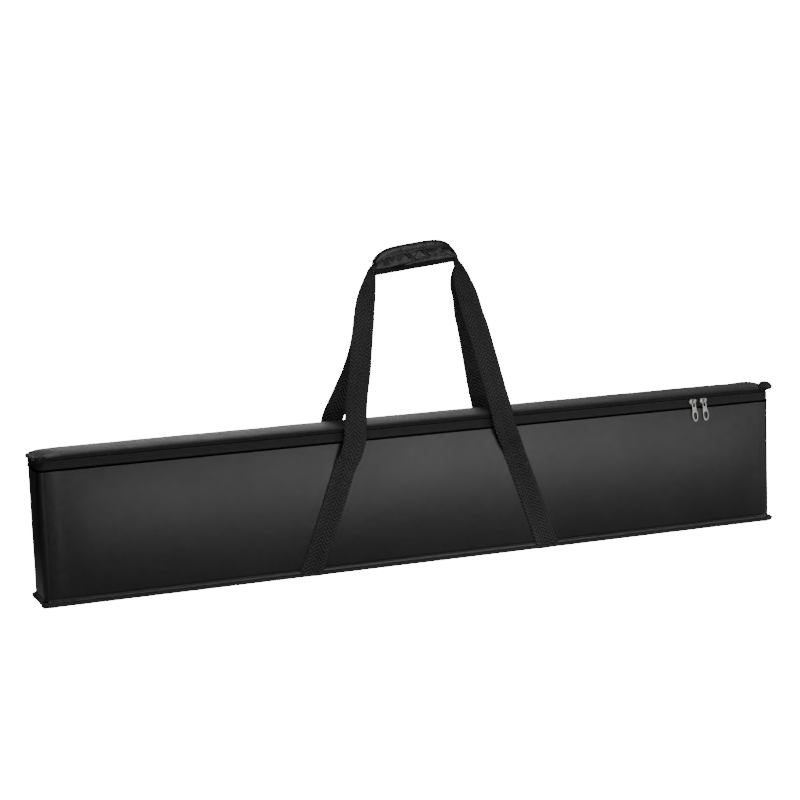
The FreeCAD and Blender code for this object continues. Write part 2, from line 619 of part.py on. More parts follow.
def draw_pull(sketch):
    """Draws a pull tab that hangs from the sketch's origin: outline, window and finger hole."""
    outline = (point(-4.5, 0.6), point(4.5, 0.6), point(4.5, -24), point(2.2, -28), point(-2.2, -28),
               point(-4.5, -24))
    for index in range(6):
        sketch.addGeometry(Part.LineSegment(outline[index], outline[(index + 1) % 6]))
    for index in range(6):
        sketch.addConstraint(Sketcher.Constraint("Coincident", index, 2, (index + 1) % 6, 1))
    for line in (1, 5):
        sketch.addConstraint(Sketcher.Constraint("Vertical", line))
    sketch.addConstraint(Sketcher.Constraint("Equal", 1, 5))
    sketch.addConstraint(Sketcher.Constraint("Symmetric", 0, 1, 0, 2, -2))
    sketch.addConstraint(Sketcher.Constraint("Symmetric", 3, 1, 3, 2, -2))
    limit(sketch, Sketcher.Constraint("DistanceX", 0, 1, 0, 2, 9), "pull_width", "Width")
    limit(sketch, Sketcher.Constraint("DistanceX", 3, 2, 3, 1, 4.4), "pull_width / 2", "TipWidth")
    limit(sketch, Sketcher.Constraint("DistanceY", -1, 1, 0, 1, 0.6), "pull_thick / 2", "Top")
    limit(sketch, Sketcher.Constraint("DistanceY", 1, 2, 0, 2, 24.6), "pull_length - pull_point", "Straight")
    limit(sketch, Sketcher.Constraint("DistanceY", 3, 1, -1, 1, 28), "pull_length", "Tip")


def cut_pull(body, name, low_x, high_x, low_z, high_z):
    """Cuts a rectangular hole through a pull tab."""
    sketch = new_sketch(body, name, "XZ_Plane")
    draw_box(sketch, low_x, high_x, low_z, high_z)
    pocket = body.newObject("PartDesign::Pocket", name + "_pocket")
    pocket.Profile = sketch
    pocket.Type = "ThroughAll"
    pocket.Midplane = True
    sketch.Visibility = False
    body.Tip = pocket


def make_pull(hand):
    """A pull tab hanging on the bridge of its slider."""
    body = new_body(f"{hand}_pull")
    sketch = new_sketch(body, body.Label + "_face", "XZ_Plane")
    draw_pull(sketch)
    feature = pad(body, sketch, body.Label + "_pad", "pull_thick")
    feature.Midplane = True
    document.recompute()
    whole = body.Shape.Volume
    cut_pull(body, body.Label + "_window", "-window_width / 2", "window_width / 2",
             "-pull_thick / 2 - window_height", "-pull_thick / 2")
    cut_pull(body, body.Label + "_hole", "-hole_width / 2", "hole_width / 2", "-hole_low", "-hole_high")
    document.recompute()
    assert body.Shape.Volume < 0.85 * whole, f"{body.Label}: the holes cut nothing"
    pull_depth = "-case_depth / 2 + coil_inset - slider_play - slider_plate - bridge_room / 2"
    bind(body, {"Placement.Base.x": f"{hand}_slider_middle", "Placement.Base.y": pull_depth,
                "Placement.Base.z": "pull_line"})
    node(body)


make_case()
make_lid()
tacks = []
for side_name, side in (("front", FRONT), ("back", BACK)):
    tacks += make_sewn_webbing(side_name, side)
    for hand in ("left", "right"):
        make_leg(side_name, side, hand)
    make_handle_half(side_name, side)
node(group("webbing_tacks", tacks))
for hand in ("left", "right"):
    make_slider(hand)
    make_pull(hand)

document.recompute()
for item in document.Objects:
    assert not {"Invalid", "Error"} & set(item.State), f"{item.Label}: {item.State}"
os.makedirs("parts", exist_ok=True)
for item in NODES:
    assert not item.Shape.isNull() and item.Shape.isValid(), item.Label
for item in NODES:
    item.Shape.exportStep(f"parts/{item.Label}.step")
print(len(NODES), "sub-parts written")
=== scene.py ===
"""Looks of a long carrying case: stiffened cloth walls, a zip-round lid, webbing loops and a padded handle.

Metres, +Z up, X along the case, the front wall faces -Y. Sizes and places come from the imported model.
"""
from __future__ import annotations

import json
import logging
import math
import sys
from dataclasses import dataclass
from enum import Enum
from typing import Callable, Iterable, Sequence

import bmesh
import bpy
import numpy as np
from mathutils import Matrix, Vector, noise

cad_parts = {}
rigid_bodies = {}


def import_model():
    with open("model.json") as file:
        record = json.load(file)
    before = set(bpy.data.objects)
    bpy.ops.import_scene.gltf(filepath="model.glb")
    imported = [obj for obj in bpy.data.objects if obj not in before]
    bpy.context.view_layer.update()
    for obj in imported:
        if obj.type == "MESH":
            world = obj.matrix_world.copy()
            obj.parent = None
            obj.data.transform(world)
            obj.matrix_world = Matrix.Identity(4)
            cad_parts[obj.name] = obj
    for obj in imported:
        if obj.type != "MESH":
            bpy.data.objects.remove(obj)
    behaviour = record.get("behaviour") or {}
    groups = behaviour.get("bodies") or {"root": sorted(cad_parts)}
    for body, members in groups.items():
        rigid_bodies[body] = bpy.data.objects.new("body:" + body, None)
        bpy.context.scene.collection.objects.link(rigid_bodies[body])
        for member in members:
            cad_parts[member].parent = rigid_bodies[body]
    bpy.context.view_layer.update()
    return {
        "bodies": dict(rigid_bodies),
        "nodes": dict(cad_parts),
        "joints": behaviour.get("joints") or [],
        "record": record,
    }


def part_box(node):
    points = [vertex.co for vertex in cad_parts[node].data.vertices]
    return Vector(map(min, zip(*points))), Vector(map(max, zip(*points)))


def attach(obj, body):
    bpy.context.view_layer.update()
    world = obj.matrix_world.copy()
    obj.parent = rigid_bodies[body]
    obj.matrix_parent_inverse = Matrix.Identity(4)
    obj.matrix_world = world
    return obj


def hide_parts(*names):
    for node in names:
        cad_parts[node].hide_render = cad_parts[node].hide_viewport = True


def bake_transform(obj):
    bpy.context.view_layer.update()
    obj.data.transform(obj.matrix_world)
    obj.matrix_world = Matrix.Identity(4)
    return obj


LOG = logging.getLogger("carrying_case")
MM = 0.001
LOOK = "_look"
BACKDROP_GLOW = 18.0
FLOOR_DROP = 0.2 * MM
STITCH_SHARE = 0.78


class Side(Enum):
    """A long wall of the case, by the sign of its Y."""

    FRONT = -1
    BACK = 1

    @property
    def word(self) -> str:
        """The side's name in node names."""
        return self.name.lower()


class Hand(Enum):
    """The left or the right of a pair, by the sign of its X."""

    LEFT = -1
    RIGHT = 1

    @property
    def word(self) -> str:
        """The hand's name in node names."""
        return self.name.lower()


class Run(Enum):
    """Which stretch of the plan outline a tape or wall follows."""

    ROUND = "all round"
    ZIP = "front and both ends"
    HINGE = "back and its corners"


class Weave(Enum):
    """How the threads of a cloth cross."""

    PLAIN = "plain"
    HERRINGBONE = "herringbone"
    RIBBED = "ribbed"
    NONE = "none"


# ---------------------------------------------------------------------------------------- node helpers


class NodeTree:
    """A thin helper that adds and joins nodes of one tree."""

    def __init__(self, tree: bpy.types.NodeTree) -> None:
        """Args: tree: the tree to fill."""
        self.tree = tree

    def add(self, kind: str, settings: dict | None = None, **inputs) -> bpy.types.Node:
        """Adds a node.

        Args:
            kind: the node's type name.
            settings: properties of the node.
            inputs: values or output sockets for its inputs, by name with _ for a space, or i0, i1 by place.

        Returns:
            The new node.
        """
        node = self.tree.nodes.new(kind)
        for name, value in (settings or {}).items():
            setattr(node, name, value)
        for name, value in inputs.items():
            place = int(name[1:]) if name[0] == "i" and name[1:].isdigit() else name.replace("_", " ")
            self.put(node.inputs[place], value)
        return node

    def put(self, socket: bpy.types.NodeSocket, value) -> None:
        """Sets an input to a value, or joins it to an output."""
        if isinstance(value, bpy.types.NodeSocket):
            self.tree.links.new(value, socket)
        else:
            socket.default_value = value

    def math(self, operation: str, *values) -> bpy.types.NodeSocket:
        """Adds a Math node and returns its result."""
        inputs = {f"i{place}": value for place, value in enumerate(values)}
        return self.add("ShaderNodeMath", {"operation": operation}, **inputs).outputs[0]


def add_object(name: str, data: bpy.types.ID) -> bpy.types.Object:
    """Puts a new object in the scene, at the origin, and returns it."""
    piece = bpy.data.objects.new(name, data)
    bpy.context.scene.collection.objects.link(piece)
    return piece


def evaluated_mesh(piece: bpy.types.Object) -> bpy.types.Mesh:
    """Returns a new mesh of an object as its modifiers leave it."""
    bpy.context.view_layer.update()
    return bpy.data.meshes.new_from_object(piece.evaluated_get(bpy.context.evaluated_depsgraph_get()))


def blank_material(name: str) -> tuple[bpy.types.Material, NodeTree]:
    """Returns a new material with an empty tree, and the helper that fills it."""
    material = bpy.data.materials.new(name)
    material.use_nodes = True
    material.node_tree.nodes.clear()
    return material, NodeTree(material.node_tree)


def new_group(name: str, kind: str, inputs: dict, outputs: dict) -> tuple:
    """Makes an empty node group with named sockets.

    Args:
        name: the group's name.
        kind: ShaderNodeTree or GeometryNodeTree.
        inputs: socket name to (socket type, default or None).
        outputs: socket name to socket type.

    Returns:
        (group, helper, input node, output node)
    """
    group = bpy.data.node_groups.new(name, kind)
    for label, (socket_type, default) in inputs.items():
        socket = group.interface.new_socket(name=label, in_out="INPUT", socket_type=socket_type)
        if default is not None:
            socket.default_value = default
    for label, socket_type in outputs.items():
        group.interface.new_socket(name=label, in_out="OUTPUT", socket_type=socket_type)
    helper = NodeTree(group)
    return group, helper, helper.add("NodeGroupInput"), helper.add("NodeGroupOutput")


class ShaderGroups:
    """The shared effects, each built once: weaves and wear."""

    def __init__(self) -> None:
        """Builds the groups."""
        self.weaves = {Weave.PLAIN: self.plain(), Weave.HERRINGBONE: self.herringbone(), Weave.RIBBED: self.ribbed()}
        self.wear = self.handling_wear()

    @staticmethod
    def threads(name: str) -> tuple:
        """Starts a weave group and splits its coordinates into thread counts.

        Returns:
            (group, helper, output node, across, along)
        """
        # Height bumps the cloth; Gap marks the hollows between threads, which the finishes darken as painted shade.
        group, tree, start, end = new_group(
            name, "ShaderNodeTree",
            {"Vector": ("NodeSocketVector", None), "Threads": ("NodeSocketFloat", 2000.0)},
            {"Height": "NodeSocketFloat", "Gap": "NodeSocketFloat"})
        split = tree.add("ShaderNodeSeparateXYZ", i0=start.outputs["Vector"])
        across = tree.math("MULTIPLY", split.outputs[0], start.outputs["Threads"])
        along = tree.math("MULTIPLY", split.outputs[1], start.outputs["Threads"])
        return group, tree, end, across, along

    def plain(self) -> bpy.types.NodeTree:
        """Over-one, under-one weave of the case cloth."""
        group, tree, end, across, along = self.threads("plain_weave")
        turn = tree.math("PINGPONG", tree.math("ADD", tree.math("FLOOR", across), tree.math("FLOOR", along)), 1.0)
        warp = tree.math("ABSOLUTE", tree.math("SINE", tree.math("MULTIPLY", across, math.pi)))
        weft = tree.math("ABSOLUTE", tree.math("SINE", tree.math("MULTIPLY", along, math.pi)))
        other = tree.math("SUBTRACT", 1.0, turn)
        height = tree.math("ADD", tree.math("MULTIPLY", warp, turn), tree.math("MULTIPLY", weft, other))
        tree.put(end.inputs["Height"], height)
        tree.put(end.inputs["Gap"], tree.math("SUBTRACT", 1.0, tree.math("MULTIPLY", warp, weft)))
        return group

    def herringbone(self) -> bpy.types.NodeTree:
        """Chevron twill of the webbing: diagonal ribs that turn back every few threads."""
        group, tree, end, across, along = self.threads("herringbone_weave")
        fold = tree.math("PINGPONG", across, 5.0)
        rib = tree.math("SINE", tree.math("MULTIPLY", tree.math("ADD", along, fold), math.pi * 0.7))
        warp = tree.math("SINE", tree.math("MULTIPLY", across, 2.0 * math.pi))
        height = tree.math("ADD", rib, tree.math("MULTIPLY", warp, 0.35))
        tree.put(end.inputs["Height"], height)
        tree.put(end.inputs["Gap"], tree.math("SUBTRACT", 0.5, tree.math("MULTIPLY", rib, 0.5)))
        return group

    def ribbed(self) -> bpy.types.NodeTree:
        """Cross ribs of binding and zip tape."""
        group, tree, end, across, along = self.threads("ribbed_weave")
        rib = tree.math("ABSOLUTE", tree.math("SINE", tree.math("MULTIPLY", across, math.pi)))
        line = tree.math("SINE", tree.math("MULTIPLY", along, 0.5 * math.pi))
        tree.put(end.inputs["Height"], tree.math("ADD", rib, tree.math("MULTIPLY", line, 0.4)))
        tree.put(end.inputs["Gap"], tree.math("SUBTRACT", 1.0, rib))
        return group

    @staticmethod
    def handling_wear() -> bpy.types.NodeTree:
        """Soft patches where a cloth has been rubbed, and fine lint."""
        group, tree, start, end = new_group(
            "handling_wear", "ShaderNodeTree",
            {"Vector": ("NodeSocketVector", None), "Patch": ("NodeSocketFloat", 9.0),
             "Lint": ("NodeSocketFloat", 0.5)},
            {"Rub": "NodeSocketFloat", "Lint": "NodeSocketFloat", "Crumple": "NodeSocketFloat"})
        cloud = tree.add("ShaderNodeTexNoise", Vector=start.outputs["Vector"], Scale=start.outputs["Patch"],
                         Detail=4.0, Roughness=0.6)
        rub = tree.add("ShaderNodeMapRange", Value=cloud.outputs["Fac"], From_Min=0.35, From_Max=0.75)
        speck = tree.add("ShaderNodeTexNoise", Vector=start.outputs["Vector"], Scale=900.0, Detail=2.0)
        lint = tree.add("ShaderNodeMapRange", Value=speck.outputs["Fac"], From_Min=0.68, From_Max=0.8)
        crumple = tree.add("ShaderNodeTexNoise", Vector=start.outputs["Vector"], Scale=60.0, Detail=3.0, Roughness=0.5)
        tree.put(end.inputs["Rub"], rub.outputs["Result"])
        tree.put(end.inputs["Lint"], tree.math("MULTIPLY", lint.outputs["Result"], start.outputs["Lint"]))
        tree.put(end.inputs["Crumple"], crumple.outputs["Fac"])
        return group


@dataclass(frozen=True)
class Finish:
    """One cloth, thread or plastic finish.

    Colours are linear. Threads is threads per metre, depth the height of a thread in metres; the darkening of the
    colour between threads is painted shade.
    """

    name: str
    slot: str
    dark: tuple[float, float, float]
    light: tuple[float, float, float]
    rough: tuple[float, float]
    weave: Weave = Weave.PLAIN
    threads: float = 2200.0
    depth: float = 0.00012
    crumple: float = 0.0002
    specular: float = 0.3
    sheen: float = 0.0
    lint: float = 0.35
    contrast: float = 0.45
    patch: float = 9.0
    on_uv: bool = True

    def material(self, groups: ShaderGroups) -> bpy.types.Material:
        """Returns the finish as a material, built on first use.

        Args:
            groups: the shared shader groups.
        """
        found = bpy.data.materials.get(self.name + LOOK)
        if found:
            return found
        material, tree = blank_material(self.name + LOOK)
        place = tree.add("ShaderNodeTexCoord")
        spot = place.outputs["UV"] if self.on_uv else place.outputs["Object"]
        wear = tree.add("ShaderNodeGroup", {"node_tree": groups.wear}, Vector=place.outputs["Object"],
                        Patch=self.patch, Lint=self.lint)
        shader = tree.add("ShaderNodeBsdfPrincipled", Specular_IOR_Level=self.specular, Sheen_Weight=self.sheen,
                          Sheen_Roughness=0.5)
        mix = tree.add("ShaderNodeMix", {"data_type": "RGBA"}, i0=wear.outputs["Rub"],
                       i6=(*self.dark, 1.0), i7=(*self.light, 1.0))
        speckled = tree.add("ShaderNodeMix", {"data_type": "RGBA"}, i0=wear.outputs["Lint"],
                            i6=mix.outputs[2], i7=(*(4.0 * c for c in self.light), 1.0))
        colour = speckled.outputs[2]
        rough = tree.add("ShaderNodeMapRange", Value=wear.outputs["Rub"], To_Min=self.rough[0], To_Max=self.rough[1])
        crease = tree.add("ShaderNodeBump", Height=wear.outputs["Crumple"], Distance=self.crumple, Strength=1.0)
        normal = crease.outputs["Normal"]
        if self.weave is not Weave.NONE:
            weave = tree.add("ShaderNodeGroup", {"node_tree": groups.weaves[self.weave]}, Vector=spot,
                             Threads=self.threads)
            # Painted shade: the colour is darkened in the weave's gaps, where shade falls between threads.
            deep = tree.math("MULTIPLY", weave.outputs["Gap"], self.contrast)
            shaded = tree.add("ShaderNodeMix", {"data_type": "RGBA", "blend_type": "MULTIPLY"}, i0=deep,
                              i6=colour, i7=(0.06, 0.06, 0.06, 1.0))
            colour = shaded.outputs[2]
            cloth = tree.add("ShaderNodeBump", Height=weave.outputs["Height"], Distance=self.depth, Strength=1.0,
                             Normal=normal)
            normal = cloth.outputs["Normal"]
        tree.put(shader.inputs["Base Color"], colour)
        tree.put(shader.inputs["Roughness"], rough.outputs["Result"])
        tree.put(shader.inputs["Normal"], normal)
        tree.add("ShaderNodeOutputMaterial", Surface=shader.outputs["BSDF"])
        return material


@dataclass(frozen=True)
class PlatedMetal:
    """Polished plating with fine scratches."""

    name: str = "nickel_plate"
    slot: str = "plated_metal"
    colour: tuple[float, float, float] = (0.34, 0.34, 0.32)

    def material(self, groups: ShaderGroups) -> bpy.types.Material:
        """Returns the finish as a material, built on first use."""
        found = bpy.data.materials.get(self.name + LOOK)
        if found:
            return found
        material, tree = blank_material(self.name + LOOK)
        place = tree.add("ShaderNodeTexCoord")
        wear = tree.add("ShaderNodeGroup", {"node_tree": groups.wear}, Vector=place.outputs["Object"], Patch=120.0,
                        Lint=0.0)
        stretch = tree.add("ShaderNodeMapping", Vector=place.outputs["Object"], Scale=(3000.0, 3000.0, 250.0))
        scratch = tree.add("ShaderNodeTexNoise", Vector=stretch.outputs[0], Scale=1.0, Detail=3.0)
        rough = tree.add("ShaderNodeMapRange", Value=wear.outputs["Rub"], To_Min=0.32, To_Max=0.46)
        bump = tree.add("ShaderNodeBump", Height=scratch.outputs["Fac"], Distance=0.00002, Strength=0.6)
        dull = tree.add("ShaderNodeMix", {"data_type": "RGBA"}, i0=wear.outputs["Rub"], i6=(*self.colour, 1.0),
                        i7=(*(0.8 * c for c in self.colour), 1.0))
        shader = tree.add("ShaderNodeBsdfPrincipled", Metallic=1.0, Base_Color=dull.outputs[2],
                          Roughness=rough.outputs["Result"], Normal=bump.outputs["Normal"])
        tree.add("ShaderNodeOutputMaterial", Surface=shader.outputs["BSDF"])
        return material


CASE_CLOTH = Finish("case_cloth", "coated_cloth", (0.0026, 0.0028, 0.0029), (0.0036, 0.0038, 0.004), (0.3, 0.36),
                    threads=1900.0, depth=0.00002, crumple=0.00008, specular=0.4, lint=0.1)
LID_CLOTH = Finish("lid_cloth", "lid_cloth", (0.02, 0.021, 0.0218), (0.026, 0.027, 0.0278), (0.8, 0.88),
                   threads=1900.0, depth=0.00003, crumple=0.00012, specular=0.5, lint=0.15, contrast=0.1)
BINDING = Finish("binding_tape", "binding_tape", (0.007, 0.007, 0.0075), (0.013, 0.013, 0.0135), (0.6, 0.75),
                 weave=Weave.RIBBED, threads=1100.0, depth=0.0001, sheen=0.1)
BINDING_LIGHT = Finish("lid_binding_tape", "binding_tape", (0.012, 0.012, 0.0123), (0.024, 0.024, 0.0245), (0.8, 0.9),
                       weave=Weave.RIBBED, threads=600.0, depth=0.0002, specular=0.1, lint=0.8, contrast=0.9)
FRAYED = Finish("frayed_tape", "binding_tape", (0.02, 0.02, 0.0205), (0.06, 0.06, 0.061), (0.8, 0.9),
                weave=Weave.RIBBED, threads=700.0, depth=0.0003, specular=0.1, lint=2.0, contrast=1.0)
WRAP_HEM = Finish("wrap_hem", "wrap_cloth", (0.007, 0.007, 0.0072), (0.014, 0.014, 0.0144), (0.5, 0.6),
                  threads=2400.0, depth=0.00004, crumple=0.0004, specular=0.2, patch=30.0)
ZIP_TAPE = Finish("zip_tape", "zip_tape", (0.007, 0.007, 0.0075), (0.012, 0.012, 0.0125), (0.6, 0.72),
                  weave=Weave.RIBBED, threads=1500.0, depth=0.00008, specular=0.25)
ZIP_COIL = Finish("zip_coil", "zip_coil", (0.008, 0.008, 0.0085), (0.013, 0.013, 0.0135), (0.35, 0.45),
                  weave=Weave.NONE, specular=0.45, lint=0.0, on_uv=False)
WEBBING = Finish("webbing", "webbing", (0.019, 0.019, 0.0195), (0.042, 0.042, 0.043), (0.5, 0.65),
                 weave=Weave.HERRINGBONE, threads=500.0, depth=0.0007, lint=0.5, contrast=0.85)
WRAP_CLOTH = Finish("wrap_cloth", "wrap_cloth", (0.004, 0.004, 0.0042), (0.009, 0.009, 0.0093), (0.26, 0.36),
                    threads=2400.0, depth=0.00004, crumple=0.0006, specular=0.45, sheen=0.03, patch=30.0)
LINING = Finish("lining_cloth", "lining_cloth", (0.02, 0.02, 0.021), (0.03, 0.03, 0.031), (0.6, 0.75),
                threads=2600.0, depth=0.00005, specular=0.25)
THREAD = Finish("sewing_thread", "thread", (0.016, 0.016, 0.0165), (0.03, 0.03, 0.031), (0.45, 0.6),
                weave=Weave.NONE, specular=0.4, lint=0.0, on_uv=False)
# Black cord, darker and less glossy than the case cloth so that it paints the dark seam line below the zip: its own
# black plus painted shade.
PIPING_PAINTED_SHADE = Finish("piping", "piping", (0.0012, 0.0012, 0.0013), (0.002, 0.002, 0.0021), (0.8, 0.9),
                weave=Weave.RIBBED, threads=1500.0, specular=0.0, lint=0.1)
STRAP_THREAD = Finish("strap_thread", "thread", (0.035, 0.035, 0.036), (0.06, 0.06, 0.061), (0.45, 0.6),
                      weave=Weave.NONE, specular=0.4, lint=0.0, on_uv=False)
PILE = Finish("fastening_pile", "hook_and_loop", (0.006, 0.006, 0.0065), (0.012, 0.012, 0.0125), (0.8, 0.95),
              weave=Weave.NONE, crumple=0.002, specular=0.1, sheen=0.3, lint=0.8, on_uv=False)
BOARD = Finish("stiffening_board", "stiffener", (0.3, 0.3, 0.31), (0.38, 0.38, 0.39), (0.5, 0.6),
               weave=Weave.NONE, specular=0.4, lint=0.0, on_uv=False)
PLATING = PlatedMetal()


# ---------------------------------------------------------------------------------------- shape helpers


def soft_step(low: np.ndarray | float, high: np.ndarray | float, value: np.ndarray | float) -> np.ndarray:
    """A smooth rise from 0 at low to 1 at high."""
    share = np.clip((np.asarray(value, float) - low) / (high - low), 0.0, 1.0)
    return share * share * (3.0 - 2.0 * share)


def hump(middle: float, width: float, value: np.ndarray | float) -> np.ndarray:
    """A smooth bump of height 1 at middle."""
    return np.exp(-(((np.asarray(value, float) - middle) / width) ** 2))


def crumple(points: np.ndarray, size: float, seed: float = 0.0) -> np.ndarray:
    """Smooth noise from about -1 to 1.

    Args:
        points: points in metres, with three numbers each along the last axis.
        size: the width of a wrinkle, in metres.
        seed: moves the pattern.

    Returns:
        One value for each point.
    """
    flat = np.asarray(points, float).reshape(-1, 3) / size + seed
    values = [noise.noise(Vector(point)) for point in flat]
    return np.array(values).reshape(np.asarray(points).shape[:-1])


@dataclass(frozen=True)
class Path:
    """A line in plan: points and outward directions."""

    xy: np.ndarray
    out: np.ndarray
    closed: bool

    def raised(self, offset: np.ndarray | float, height: np.ndarray | float) -> np.ndarray:
        """The line moved outwards and lifted.

        Args:
            offset: distance outwards, one number or one for each point.
            height: Z, one number or one for each point.

        Returns:
            Points in space.
        """
        count = len(self.xy)
        out = np.broadcast_to(offset, (count,))[:, None]
        flat = self.xy + self.out * out
        return np.column_stack([flat, np.broadcast_to(height, (count,))])


@dataclass(frozen=True)
class Plan:
    """The rounded rectangle that walls, tapes and bindings follow, seen from above."""

    half_length: float
    half_depth: float
    radius: float

    def trace(self, run: Run, step: float = 0.007, turns: int = 12) -> Path:
        """Follows the outline.

        Args:
            run: which stretch of it.
            step: the longest distance between points on a straight.
            turns: steps in a corner.

        Returns:
            The path, with the outside on its right.
        """
        x, y, r = self.half_length - self.radius, self.half_depth - self.radius, self.radius
        edge_x, edge_y = self.half_length, self.half_depth
        parts = {
            "back_left": self.line((0.0, edge_y), (-x, edge_y), (0.0, 1.0), step),
            "corner_0": self.arc((-x, y), 90.0, turns),
            "left": self.line((-edge_x, y), (-edge_x, -y), (-1.0, 0.0), step),
            "corner_1": self.arc((-x, -y), 180.0, turns),
            "front": self.line((-x, -edge_y), (x, -edge_y), (0.0, -1.0), step),
            "corner_2": self.arc((x, -y), 270.0, turns),
            "right": self.line((edge_x, -y), (edge_x, y), (1.0, 0.0), step),
            "corner_3": self.arc((x, y), 0.0, turns),
            "back_right": self.line((x, edge_y), (0.0, edge_y), (0.0, 1.0), step),
        }
        names = list(parts)
        if run is Run.ZIP:
            names = names[2:7]
        elif run is Run.HINGE:
            names = ["back_right", "back_left"]
        points = [parts[names[0]][0]]
        outs = [parts[names[0]][1]]
        for name in names[1:]:
            points.append(parts[name][0][1:])
            outs.append(parts[name][1][1:])
        xy, out = np.concatenate(points), np.concatenate(outs)
        if run is Run.ROUND:
            xy, out = xy[:-1], out[:-1]
        return Path(xy, out, run is Run.ROUND)

    def corner(self, hand: Hand, turns: int = 12) -> Path:
        """The back corner on one hand, from its end wall to the back or from the back to its end wall."""
        x, y = self.half_length - self.radius, self.half_depth - self.radius
        xy, out = self.arc((hand.value * x, y), 90.0 if hand is Hand.LEFT else 0.0, turns)
        return Path(xy, out, False)

    def half_width(self, x: np.ndarray) -> np.ndarray:
        """Half the depth of the outline at each X."""
        past = np.clip(np.abs(x) - (self.half_length - self.radius), 0.0, self.radius)
        return self.half_depth - self.radius + np.sqrt(self.radius**2 - past**2)

    @staticmethod
    def line(start: tuple, end: tuple, out: tuple, step: float) -> tuple[np.ndarray, np.ndarray]:
        """Points and outward directions along a straight."""
        start, end = np.array(start), np.array(end)
        count = max(2, math.ceil(float(np.linalg.norm(end - start)) / step) + 1)
        share = np.linspace(0.0, 1.0, count)[:, None]
        return start + (end - start) * share, np.repeat(np.array([out]), count, axis=0)

    def arc(self, centre: tuple, start: float, turns: int) -> tuple[np.ndarray, np.ndarray]:
        """Points and outward directions round a quarter turn, from start degrees."""
        angle = np.radians(start + np.linspace(0.0, 90.0, turns + 1))
        out = np.column_stack([np.cos(angle), np.sin(angle)])
        return np.array(centre) + out * self.radius, out


def spread(*parts: np.ndarray) -> np.ndarray:
    """Joins arrays of X, Y and Z into points, spread over one another."""
    return np.stack(np.broadcast_arrays(*parts), axis=-1)


def ring(line: np.ndarray) -> np.ndarray:
    """A line with its first point again at its end."""
    return np.vstack([line, line[:1]])


def skin(name: str, rows: np.ndarray, closed: bool = False, sharp: float = 60.0) -> bpy.types.Object:
    """Makes a closed shell from a row of sections, with a UV map in metres.

    Args:
        name: the piece's name.
        rows: points, as (section, point, 3). Each section is joined to itself.
        closed: join the last section to the first, instead of capping both.
        sharp: edges sharper than this many degrees stay sharp.

    Returns:
        The new object, at the origin.
    """
    count, width = rows.shape[:2]
    steps = np.linalg.norm(rows - np.roll(rows, 1, axis=0), axis=2).mean(axis=1)
    along = np.concatenate([[0.0], np.cumsum(np.roll(steps, -1))])
    gaps = np.linalg.norm(rows - np.roll(rows, 1, axis=1), axis=2).max(axis=0)
    across = np.concatenate([[0.0], np.cumsum(np.roll(gaps, -1))])
    faces, coordinates = [], []
    for i in range(count if closed else count - 1):
        for j in range(width):
            a, b = (i + 1) % count, (j + 1) % width
            faces.append((i * width + j, a * width + j, a * width + b, i * width + b))
            coordinates += [(across[j], along[i]), (across[j], along[i + 1]),
                            (across[j + 1], along[i + 1]), (across[j + 1], along[i])]
    if not closed:
        for i in (0, count - 1):
            loop = [i * width + j for j in range(width)]
            faces.append(tuple(reversed(loop)) if i else tuple(loop))
            coordinates += [(across[j], along[i]) for j in (reversed(range(width)) if i else range(width))]
    mesh = bpy.data.meshes.new(name)
    mesh.from_pydata([tuple(point) for point in rows.reshape(-1, 3)], [], faces)
    layer = mesh.uv_layers.new(name="cloth")
    layer.data.foreach_set("uv", np.array(coordinates, np.float32).ravel())
    piece = add_object(name, mesh)
    face_outwards(piece)
    smooth(piece, sharp)
    return piece


def face_outwards(piece: bpy.types.Object) -> None:
    """Turns every face of a closed piece outwards."""
    shell = bmesh.new()
    shell.from_mesh(piece.data)
    bmesh.ops.recalc_face_normals(shell, faces=shell.faces)
    shell.to_mesh(piece.data)
    shell.free()


def smooth(piece: bpy.types.Object, sharp: float) -> None:
    """Shades a piece smoothly, but for edges sharper than so many degrees."""
    piece.data.polygons.foreach_set("use_smooth", [True] * len(piece.data.polygons))
    piece.data.set_sharp_from_angle(angle=math.radians(sharp))
    piece.data.update()


def sweep(name: str, path: Path, offsets: np.ndarray, heights: np.ndarray, sharp: float = 60.0) -> bpy.types.Object:
    """Runs a closed section along a path.

    Args:
        name: the piece's name.
        path: the line in plan.
        offsets: distance outwards, one for each section point, or a row of them for each path point.
        heights: Z, given in the same way.
        sharp: edges sharper than this many degrees stay sharp.

    Returns:
        The new object.
    """
    shape = (len(path.xy), np.asarray(offsets).shape[-1])
    out, up = np.broadcast_to(offsets, shape), np.broadcast_to(heights, shape)
    rows = np.stack([path.raised(out[:, k], up[:, k]) for k in range(shape[1])], axis=1)
    return skin(name, rows, path.closed, sharp)


def oval(half_width: float, half_height: float, count: int, square: float = 2.0) -> tuple[np.ndarray, np.ndarray]:
    """A closed rounded section about zero.

    Args:
        half_width: half its size across.
        half_height: half its size up.
        count: number of points.
        square: 2 for an ellipse, more for flatter sides.

    Returns:
        (across, up)
    """
    angle = np.linspace(0.0, 2.0 * math.pi, count, endpoint=False)
    power = 2.0 / square
    c, s = np.cos(angle), np.sin(angle)
    return half_width * np.sign(c) * np.abs(c) ** power, half_height * np.sign(s) * np.abs(s) ** power


